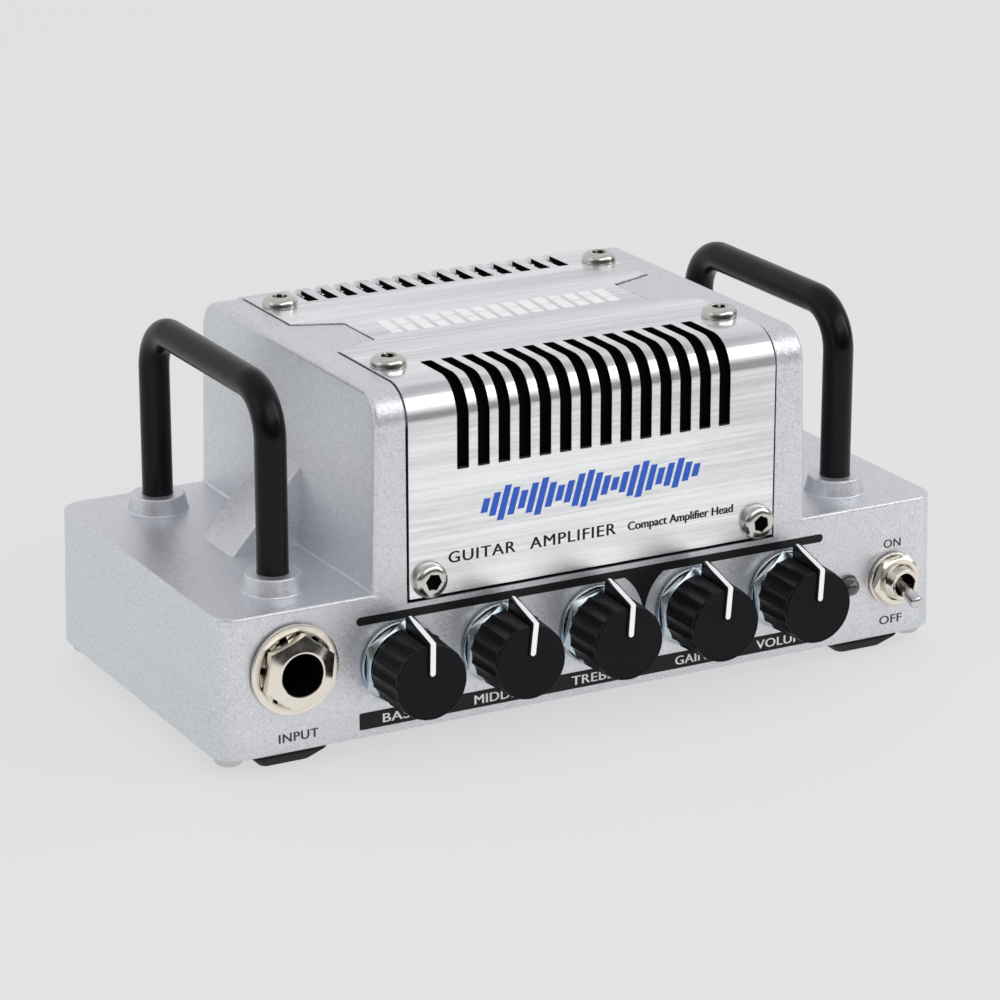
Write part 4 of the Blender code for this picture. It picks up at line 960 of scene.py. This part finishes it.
def build_lamp():
    f = front(LED_X - 0.15, LED_Z)
    at = (LED_X, -PANEL_Y, LED_Z)
    prof = [(0, -5.5), (1.5, -5.5), (1.5, 0.65)]
    for k in range(1, 12):
        a = rad(90.0 * k / 12)
        prof.append((1.5 * math.cos(a), 0.65 + 1.5 * math.sin(a)))
    prof.append((0, 2.15))
    lay("lamp_dome", turned(bmesh.new(), prof, 48, f), LENS, at=at, stands=("power_led",), sharp=50.0, weighted=False)
    w = [(1.52, -0.2), (1.72, -0.2), (1.72, 0.12), (1.66, 0.2), (1.58, 0.2), (1.52, 0.12)]
    lay("lamp_ring", turned(bmesh.new(), w, 48, f, closed=True), DARK_STEEL, at=at, sharp=40.0)


# ================================================================ rear and inside
def build_rear():
    for name, x in REAR_SOCKETS:
        g = rear(x, REAR_Z)
        at = (x, PANEL_Y, REAR_Z)
        bm = bevelled(box(bmesh.new(), (x - 5.4, 12.0, REAR_Z - 5.4), (x + 5.4, PANEL_Y - 3.3, REAR_Z + 5.4)), 0.5, 2)
        bm = join(bm, turned(bmesh.new(), [(0, -4.0), (4.35, -4.0), (4.35, 2.9), (4.1, 3.2), (0, 3.2)], 64, g))
        bm = cut(bm, peg(g, 3.2, -18.5, 4.0, 64))
        lay(name + "_body", bm, SOCKET, at=at, stands=(name,))
        lay(name + "_washer", turned(bmesh.new(), [(4.45, 0.02), (6.9, 0.02), (7.0, 0.12), (7.0, 0.42), (6.88, 0.55), (4.45, 0.55)], 72, g, closed=True), NICKEL_SATIN, at=at, sharp=40.0)
        lay(name + "_nut", nut(g, 5.6, 4.4, 0.62, 2.3, rad(14.0)), NICKEL, at=at, sharp=25.0)
    g = rear(PHONES_X, REAR_Z)
    at = (PHONES_X, PANEL_Y, REAR_Z)
    bm = bevelled(box(bmesh.new(), (PHONES_X - 3.2, 15.0, REAR_Z - 3.2), (PHONES_X + 3.2, PANEL_Y - 3.3, REAR_Z + 3.2)), 0.4, 2)
    bm = join(bm, turned(bmesh.new(), [(0, -4.0), (3.0, -4.0), (3.0, 2.2), (2.8, 2.4), (0, 2.4)], 48, g))
    bm = cut(bm, peg(g, 1.8, -14.0, 4.0, 48))
    lay("phones_socket_body", bm, SOCKET, at=at, stands=("phones_jack",))
    kn = lambda a: 4.35 - 0.14 * (0.5 + 0.5 * math.cos(a * 36))
    lay("phones_ring_nut", turned(bmesh.new(), [(3.05, 0.05), (4.1, 0.05), (kn, 0.2), (kn, 1.35), (4.05, 1.6), (3.4, 1.62), (3.05, 1.45)], 144, g, closed=True), NICKEL, at=at, sharp=40.0)
    g = rear(DC_X, REAR_Z)
    at = (DC_X, PANEL_Y, REAR_Z)
    bm = bevelled(box(bmesh.new(), (DC_X - 4.6, 17.0, REAR_Z - 5.0), (DC_X + 4.6, PANEL_Y - 3.3, REAR_Z + 5.0)), 0.4, 2)
    bm = join(bm, turned(bmesh.new(), [(0, -4.0), (5.0, -4.0), (5.0, 0.95), (4.8, 1.2), (0, 1.2)], 56, g))
    bm = cut(bm, turned(bmesh.new(), [(1.0, -9.0), (2.8, -9.0), (2.8, 3.0), (1.0, 3.0)], 48, g, closed=True))
    lay("supply_socket_body", bm, SOCKET, at=at, stands=("dc_jack",))


# ================================================================ printing
def base_face(x, z, h):
    """A point h above the low body's front face, which leans back with its draft."""
    return (x, -(BASE_HY - BASE_DRAFT * (z - 0.5) / (BASE_H - 1.4)) - h, z)


def base_back(x, z, h):
    return (-x, BASE_HY - BASE_DRAFT * (z - 0.5) / (BASE_H - 1.4) + h, z)


def plate_front(x, z, h):
    return (x, -(COVER_Y + COVER_PROUD) - h, z)


def plate_top(x, y, h):
    return (x, y, TOWER_TOP + COVER_PROUD + h)


def sheet_of(poly_list, face, h0, h1):
    """Closed thin pads from flat outlines."""
    bm = bmesh.new()
    for poly in poly_list:
        loft(bm, [[face(p[0], p[1], h) for p in poly] for h in (h0, h1)])
    return bm


def pill(x0, x1, z0, z1, n=10):
    r = 0.5 * (z1 - z0)
    zc = 0.5 * (z0 + z1)
    return [(x1 - r + r * math.cos(rad(-90 + 180 * k / n)), zc + r * math.sin(rad(-90 + 180 * k / n))) for k in range(n + 1)] + \
           [(x0 + r + r * math.cos(rad(90 + 180 * k / n)), zc + r * math.sin(rad(90 + 180 * k / n))) for k in range(n + 1)]


def lettering(name, text, face, x0, x1, z0, z1, mat, h1=0.03, bold=0.0, spacing=1.0, slant=0.0, h0=-0.04, strike=0.0):
    """Text from Blender's own font as a thin closed mesh that fills a box on a face."""
    cu = bpy.data.curves.new("text", "FONT")
    cu.body = text
    cu.size = 10.0
    cu.resolution_u = 5
    cu.extrude = 0.05
    cu.offset = bold
    cu.space_character = spacing
    ob = bpy.data.objects.new("text", cu)
    COL.objects.link(ob)
    deps = bpy.context.evaluated_depsgraph_get()
    deps.update()
    bm = bmesh.new()
    bm.from_mesh(ob.evaluated_get(deps).to_mesh())
    bpy.data.objects.remove(ob, do_unlink=True)
    bmesh.ops.remove_doubles(bm, verts=bm.verts[:], dist=1e-4)
    xs = [v.co.x for v in bm.verts]
    ys = [v.co.y for v in bm.verts]
    ax, bx, ay, by = min(xs), max(xs), min(ys), max(ys)
    for v in bm.verts:
        u = x0 + (v.co.x - ax) / (bx - ax) * (x1 - x0)
        w = (v.co.y - ay) / (by - ay)
        z = z0 + w * (z1 - z0)
        v.co = Vector(face(u + slant * w, z, h1 if v.co.z > 0 else h0))
    if strike:
        # a second, slightly lower strike beside the first makes the strokes bolder
        twin = bmesh.ops.duplicate(bm, geom=bm.verts[:] + bm.edges[:] + bm.faces[:])
        side = Vector(face(strike, 0.0, -0.004)) - Vector(face(0.0, 0.0, 0.0))
        bmesh.ops.translate(bm, verts=[g for g in twin["geom"] if isinstance(g, bmesh.types.BMVert)], vec=side)
    return lay(name, bm, mat, sharp=30.0, weighted=False, recalc=True)


def build_printing():
    # two bars on the front panel, joined between two of the controls
    lay("print_top_bar", sheet_of([pill(-41.1, 41.6, 17.99, 19.34)], base_face, -0.05, 0.025), INK_BLACK)
    lay("print_label_bar", sheet_of([[(-40.95, 1.6), (-40.85, 1.45), (-40.65, 1.39), (40.8, 1.39), (41.0, 1.45), (41.1, 1.6), (41.1, 3.86), (41.0, 4.02), (40.8, 4.08), (-40.65, 4.08), (-40.85, 4.02), (-40.95, 3.86)]], base_face, -0.05, 0.025), INK_BLACK)
    r = 8.4
    left, right = [], []
    for k in range(13):
        z = 18.3 - (18.3 - 12.2) * k / 12.0
        dx = math.sqrt(r * r - (z - 11.3) ** 2)
        left.append((KNOB_X0 + dx, z))
        right.append((KNOB_X0 + KNOB_PITCH - dx, z))
    lay("print_waist", sheet_of([left + list(reversed(right))], base_face, -0.05, 0.02), INK_BLACK)
    words = (("BASS", -2, 2.94), ("MIDDLE", -1, 4.36), ("TREBLE", 0, 4.41), ("GAIN", 1, 2.84), ("VOLUME", 2, 4.97))
    for word, k, half in words:
        cx = KNOB_X0 + k * KNOB_PITCH
        lettering("label_" + word.lower(), word, base_face, cx - half, cx + half, 1.98, 3.42, INK_WHITE, 0.045, 0.0, 1.05, strike=0.10)
    lettering("label_input", "INPUT", base_face, -54.4, -47.9, 1.8, 3.2, INK_GREY, 0.03, 0.0, 1.1, strike=0.10)
    lettering("label_on", "ON", base_face, 53.26, 56.45, 14.92, 16.29, INK_GREY, 0.03, -0.03, 1.05, strike=0.09)
    lettering("label_off", "OFF", base_face, 52.7, 56.94, 1.99, 3.42, INK_GREY, 0.03, -0.03, 1.05, strike=0.09)
    # a generic mark on the plate's front: slanted bars of a level meter
    bars = []
    hs = (2.2, 3.6, 5.4, 4.2, 2.8, 4.6, 5.7, 3.8, 2.4, 3.4, 5.0, 5.7, 4.4, 3.0, 2.0, 3.2, 4.8, 5.6, 4.0, 2.6, 3.6, 4.6, 3.0, 2.0)
    n = len(hs)
    for i, h in enumerate(hs):
        x0 = -19.8 + 38.6 * i / n
        zc = 33.7
        z0, z1 = zc - 0.5 * h, zc + 0.5 * h
        sl = 0.28
        bars.append([(x0 + sl * (z0 - zc), z0), (x0 + 1.12 + sl * (z0 - zc), z0), (x0 + 1.12 + sl * (z1 - zc), z1), (x0 + sl * (z1 - zc), z1)])
    lay("mark_level_bars", sheet_of(bars, plate_front, -0.04, 0.03), INK_BLUE, weighted=False)
    lettering("label_descriptor_a", "GUITAR", plate_front, -25.6, -14.2, 25.5, 27.3, INK_BLACK, 0.03, 0.0, 1.12, strike=0.11)
    lettering("label_descriptor_b", "AMPLIFIER", plate_front, -11.6, 3.4, 25.5, 27.3, INK_BLACK, 0.03, 0.0, 1.12, strike=0.11)
    lettering("label_descriptor_c", "Compact Amplifier Head", plate_front, 5.6, 24.5, 25.25, 27.05, INK_BLACK, 0.03, 0.03, 1.0, strike=0.13)
    # a generic pale mark on the plate's top: a row of slanted bars, each cut once across
    blocks = []
    for i in range(15):
        x0 = -20.6 + 2.78 * i
        yb, yt, w, lean = -3.5, 3.9, 1.95, 0.75
        gap = -1.6 + 0.42 * ((i * 4) % 9)
        for lo, hi in ((yb, gap - 0.22), (gap + 0.22, yt)):
            f0, f1 = (lo - yb) / (yt - yb) * lean, (hi - yb) / (yt - yb) * lean
            blocks.append([(x0 + f0, lo), (x0 + f0 + w, lo), (x0 + f1 + w, hi), (x0 + f1, hi)])
    lay("mark_top_bars", sheet_of(blocks, plate_top, -0.04, 0.03), INK_WHITE, weighted=False)
    # rear labels (x runs to the left when seen from behind)
    for word, x, half in (("SPEAKER", 40.0, 4.9), ("LOOP", 10.0, 2.9), ("PHONES", -20.0, 4.2), ("DC IN", -45.0, 3.2)):
        lettering("rear_label_" + word.lower().replace(" ", "_"), word, base_back, -x - half, -x + half, 2.2, 3.7, INK_GREY, 0.03, 0.0, 1.05)


def finish_inside():
    for n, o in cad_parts.items():
        if o.hide_render:
            continue
        mat = {"main_board": BOARD}.get(n)
        if mat is None:
            mat = DARK_STEEL if n.startswith("pot_body") else STEEL
        for s in o.material_slots:
            s.material = mat
        if not o.material_slots:
            o.data.materials.append(mat)


# ================================================================ stage, light, camera
def build_stage():
    bm = bmesh.new()
    bmesh.ops.create_grid(bm, x_segments=2, y_segments=2, size=4.0)
    me = bpy.data.meshes.new("floor")
    bm.to_mesh(me)
    bm.free()
    fl = bpy.data.objects.new("floor", me)
    COL.objects.link(fl)
    m = bpy.data.materials.new("floor_paper")
    m.use_nodes = True
    b = m.node_tree.nodes["Principled BSDF"]
    b.inputs["Base Color"].default_value = (0.14, 0.145, 0.143, 1.0)
    b.inputs["Roughness"].default_value = 0.9
    b.inputs["Specular IOR Level"].default_value = 0.1
    b.inputs["Emission Color"].default_value = (0.742, 0.757, 0.750, 1.0)
    b.inputs["Emission Strength"].default_value = 0.835
    me.materials.append(m)

    w = bpy.data.worlds.new("studio")
    bpy.context.scene.world = w
    w.use_nodes = True
    nt = w.node_tree
    for n in list(nt.nodes):
        nt.nodes.remove(n)
    out = nt.nodes.new("ShaderNodeOutputWorld")
    bg = nt.nodes.new("ShaderNodeBackground")
    tc = nt.nodes.new("ShaderNodeTexCoord")
    sep = nt.nodes.new("ShaderNodeSeparateXYZ")
    nt.links.new(tc.outputs["Generated"], sep.inputs[0])
    half = nt.nodes.new("ShaderNodeMapRange")
    half.inputs["From Min"].default_value = -1.0
    half.inputs["From Max"].default_value = 1.0
    nt.links.new(sep.outputs["Z"], half.inputs["Value"])

    def ramp(stops):
        r = nt.nodes.new("ShaderNodeValToRGB")
        el = r.color_ramp.elements
        while len(el) > 1:
            el.remove(el[-1])
        el[0].position = stops[0][0] * 0.5 + 0.5
        el[0].color = (stops[0][1],) * 3 + (1.0,)
        for z, c in stops[1:]:
            e = el.new(z * 0.5 + 0.5)
            e.color = (c, c, c * 1.01, 1.0)
        nt.links.new(half.outputs["Result"], r.inputs["Fac"])
        return r.outputs["Color"]

    fr = ramp(((-1.0, 0.72), (-0.02, 0.72), (0.0, 0.06), (0.19, 0.07), (0.36, 0.38), (0.60, 0.80), (0.80, 0.98), (0.90, 0.66), (1.0, 0.60)))
    bk = ramp(((-1.0, 0.72), (-0.02, 0.72), (0.0, 1.04), (0.28, 1.10), (0.74, 1.06), (0.84, 0.98), (0.91, 0.62), (1.0, 0.58)))
    side = nt.nodes.new("ShaderNodeMapRange")
    side.interpolation_type = "SMOOTHSTEP"
    side.inputs["From Min"].default_value = -0.25
    side.inputs["From Max"].default_value = 0.35
    nt.links.new(sep.outputs["Y"], side.inputs["Value"])
    mx = nt.nodes.new("ShaderNodeMix")
    mx.data_type = "RGBA"
    nt.links.new(side.outputs["Result"], mx.inputs["Factor"])
    ins = [i for i in mx.inputs if i.type == "RGBA"]
    nt.links.new(fr, ins[0])
    nt.links.new(bk, ins[1])
    nt.links.new([o for o in mx.outputs if o.type == "RGBA"][0], bg.inputs["Color"])
    bg.inputs["Strength"].default_value = 0.72
    nt.links.new(bg.outputs[0], out.inputs[0])


def area(name, loc, target, sx, sy, power, colour=(1.0, 1.0, 1.0), spread=180.0):
    li = bpy.data.lights.new(name, "AREA")
    li.shape = "RECTANGLE"
    li.size, li.size_y = sx, sy
    li.energy = power
    li.color = colour
    li.spread = rad(spread)
    ob = bpy.data.objects.new(name, li)
    COL.objects.link(ob)
    ob.location = loc
    ob.rotation_euler = (Vector(target) - Vector(loc)).to_track_quat("-Z", "Y").to_euler()
    ob.visible_camera = False
    return ob


def build_lights():
    t = (0.0, 0.0, 0.03)
    area("softbox_front_top", (0.30, -0.82, 0.76), t, 1.7, 0.58, 4.3)
    area("softbox_top", (0.0, 0.15, 1.1), t, 0.9, 0.7, 0.7)
    area("softbox_left", (-0.95, -0.05, 0.45), t, 0.5, 0.5, 0.6, (0.93, 0.96, 1.0))
    area("softbox_right", (0.95, -0.5, 0.5), t, 0.5, 0.6, 1.8)
    fill = area("softbox_fill", (-0.25, -0.95, 0.30), t, 0.7, 0.4, 1.6)
    fill.visible_glossy = False


def build_flags():
    """A black studio flag low in front and a glowing reflector card on the floor in front: only glossy surfaces see
    them.
    """
    m = bpy.data.materials.new("flag_cloth")
    m.use_nodes = True
    b = m.node_tree.nodes["Principled BSDF"]
    b.inputs["Base Color"].default_value = (0.03, 0.03, 0.032, 1.0)
    b.inputs["Roughness"].default_value = 1.0
    b.inputs["Specular IOR Level"].default_value = 0.0
    glow = bpy.data.materials.new("reflector_cloth")
    glow.use_nodes = True
    b = glow.node_tree.nodes["Principled BSDF"]
    b.inputs["Base Color"].default_value = (0.05, 0.05, 0.05, 1.0)
    b.inputs["Specular IOR Level"].default_value = 0.0
    b.inputs["Emission Color"].default_value = (1.0, 0.99, 0.98, 1.0)
    b.inputs["Emission Strength"].default_value = 0.92
    for name, a, c, z0, z1 in (("flag_front", (-0.45, -0.42), (0.75, -0.42), 0.002, 0.12), ("reflector_front", (-0.30, -0.30), (0.50, -0.036), 0.0012, 0.0012)):
        bm = bmesh.new()
        if z1 - z0 < 0.01:
            v = [bm.verts.new(q) for q in ((a[0], a[1], z0), (c[0], a[1], z0), (c[0], c[1], z0), (a[0], c[1], z0))]
        else:
            v = [bm.verts.new(q) for q in ((a[0], a[1], z0), (c[0], c[1], z0), (c[0], c[1], z1), (a[0], a[1], z1))]
        bm.faces.new(v)
        me = bpy.data.meshes.new(name)
        bm.to_mesh(me)
        bm.free()
        me.materials.append(glow if name.startswith("reflector") else m)
        ob = bpy.data.objects.new(name, me)
        COL.objects.link(ob)
        ob.visible_camera = False
        ob.visible_diffuse = False
        ob.visible_shadow = False
        ob.visible_transmission = False


def build_camera():
    cam = bpy.data.cameras.new("camera")
    ob = bpy.data.objects.new("camera", cam)
    COL.objects.link(ob)
    yaw, pitch, roll = rad(-28.262), rad(-18.354), rad(-0.028)
    fw = Vector((-math.sin(yaw) * math.cos(pitch), math.cos(yaw) * math.cos(pitch), math.sin(pitch)))
    fw = Vector((math.sin(-yaw) * math.cos(pitch), math.cos(yaw) * math.cos(pitch), math.sin(pitch)))
    rt = fw.cross(Vector((0.0, 0.0, 1.0))).normalized()
    up = rt.cross(fw).normalized()
    c, s = math.cos(roll), math.sin(roll)
    r2 = rt * c + up * s
    u2 = up * c - rt * s
    m = Matrix(((r2.x, u2.x, -fw.x, 0.0), (r2.y, u2.y, -fw.y, 0.0), (r2.z, u2.z, -fw.z, 0.0), (0.0, 0.0, 0.0, 1.0)))
    m.translation = row((-279.447, -520.261, 218.233))
    ob.matrix_world = m
    cam.sensor_width = 36.0
    cam.lens = 3868.871 * 36.0 / 1000.0
    cam.clip_start = 0.01
    cam.clip_end = 20.0
    bpy.context.scene.camera = ob
    bpy.context.scene.view_settings.view_transform = "Standard"


build_camera()
build_stage()
build_lights()
build_flags()
build_shell()
build_cover()
build_liner()
build_base_plate()
build_screws()
build_feet()
build_handles()
build_controls()
build_input()
build_switch()
build_lamp()
build_rear()
build_printing()
finish_inside()

bpy.context.view_layer.update()
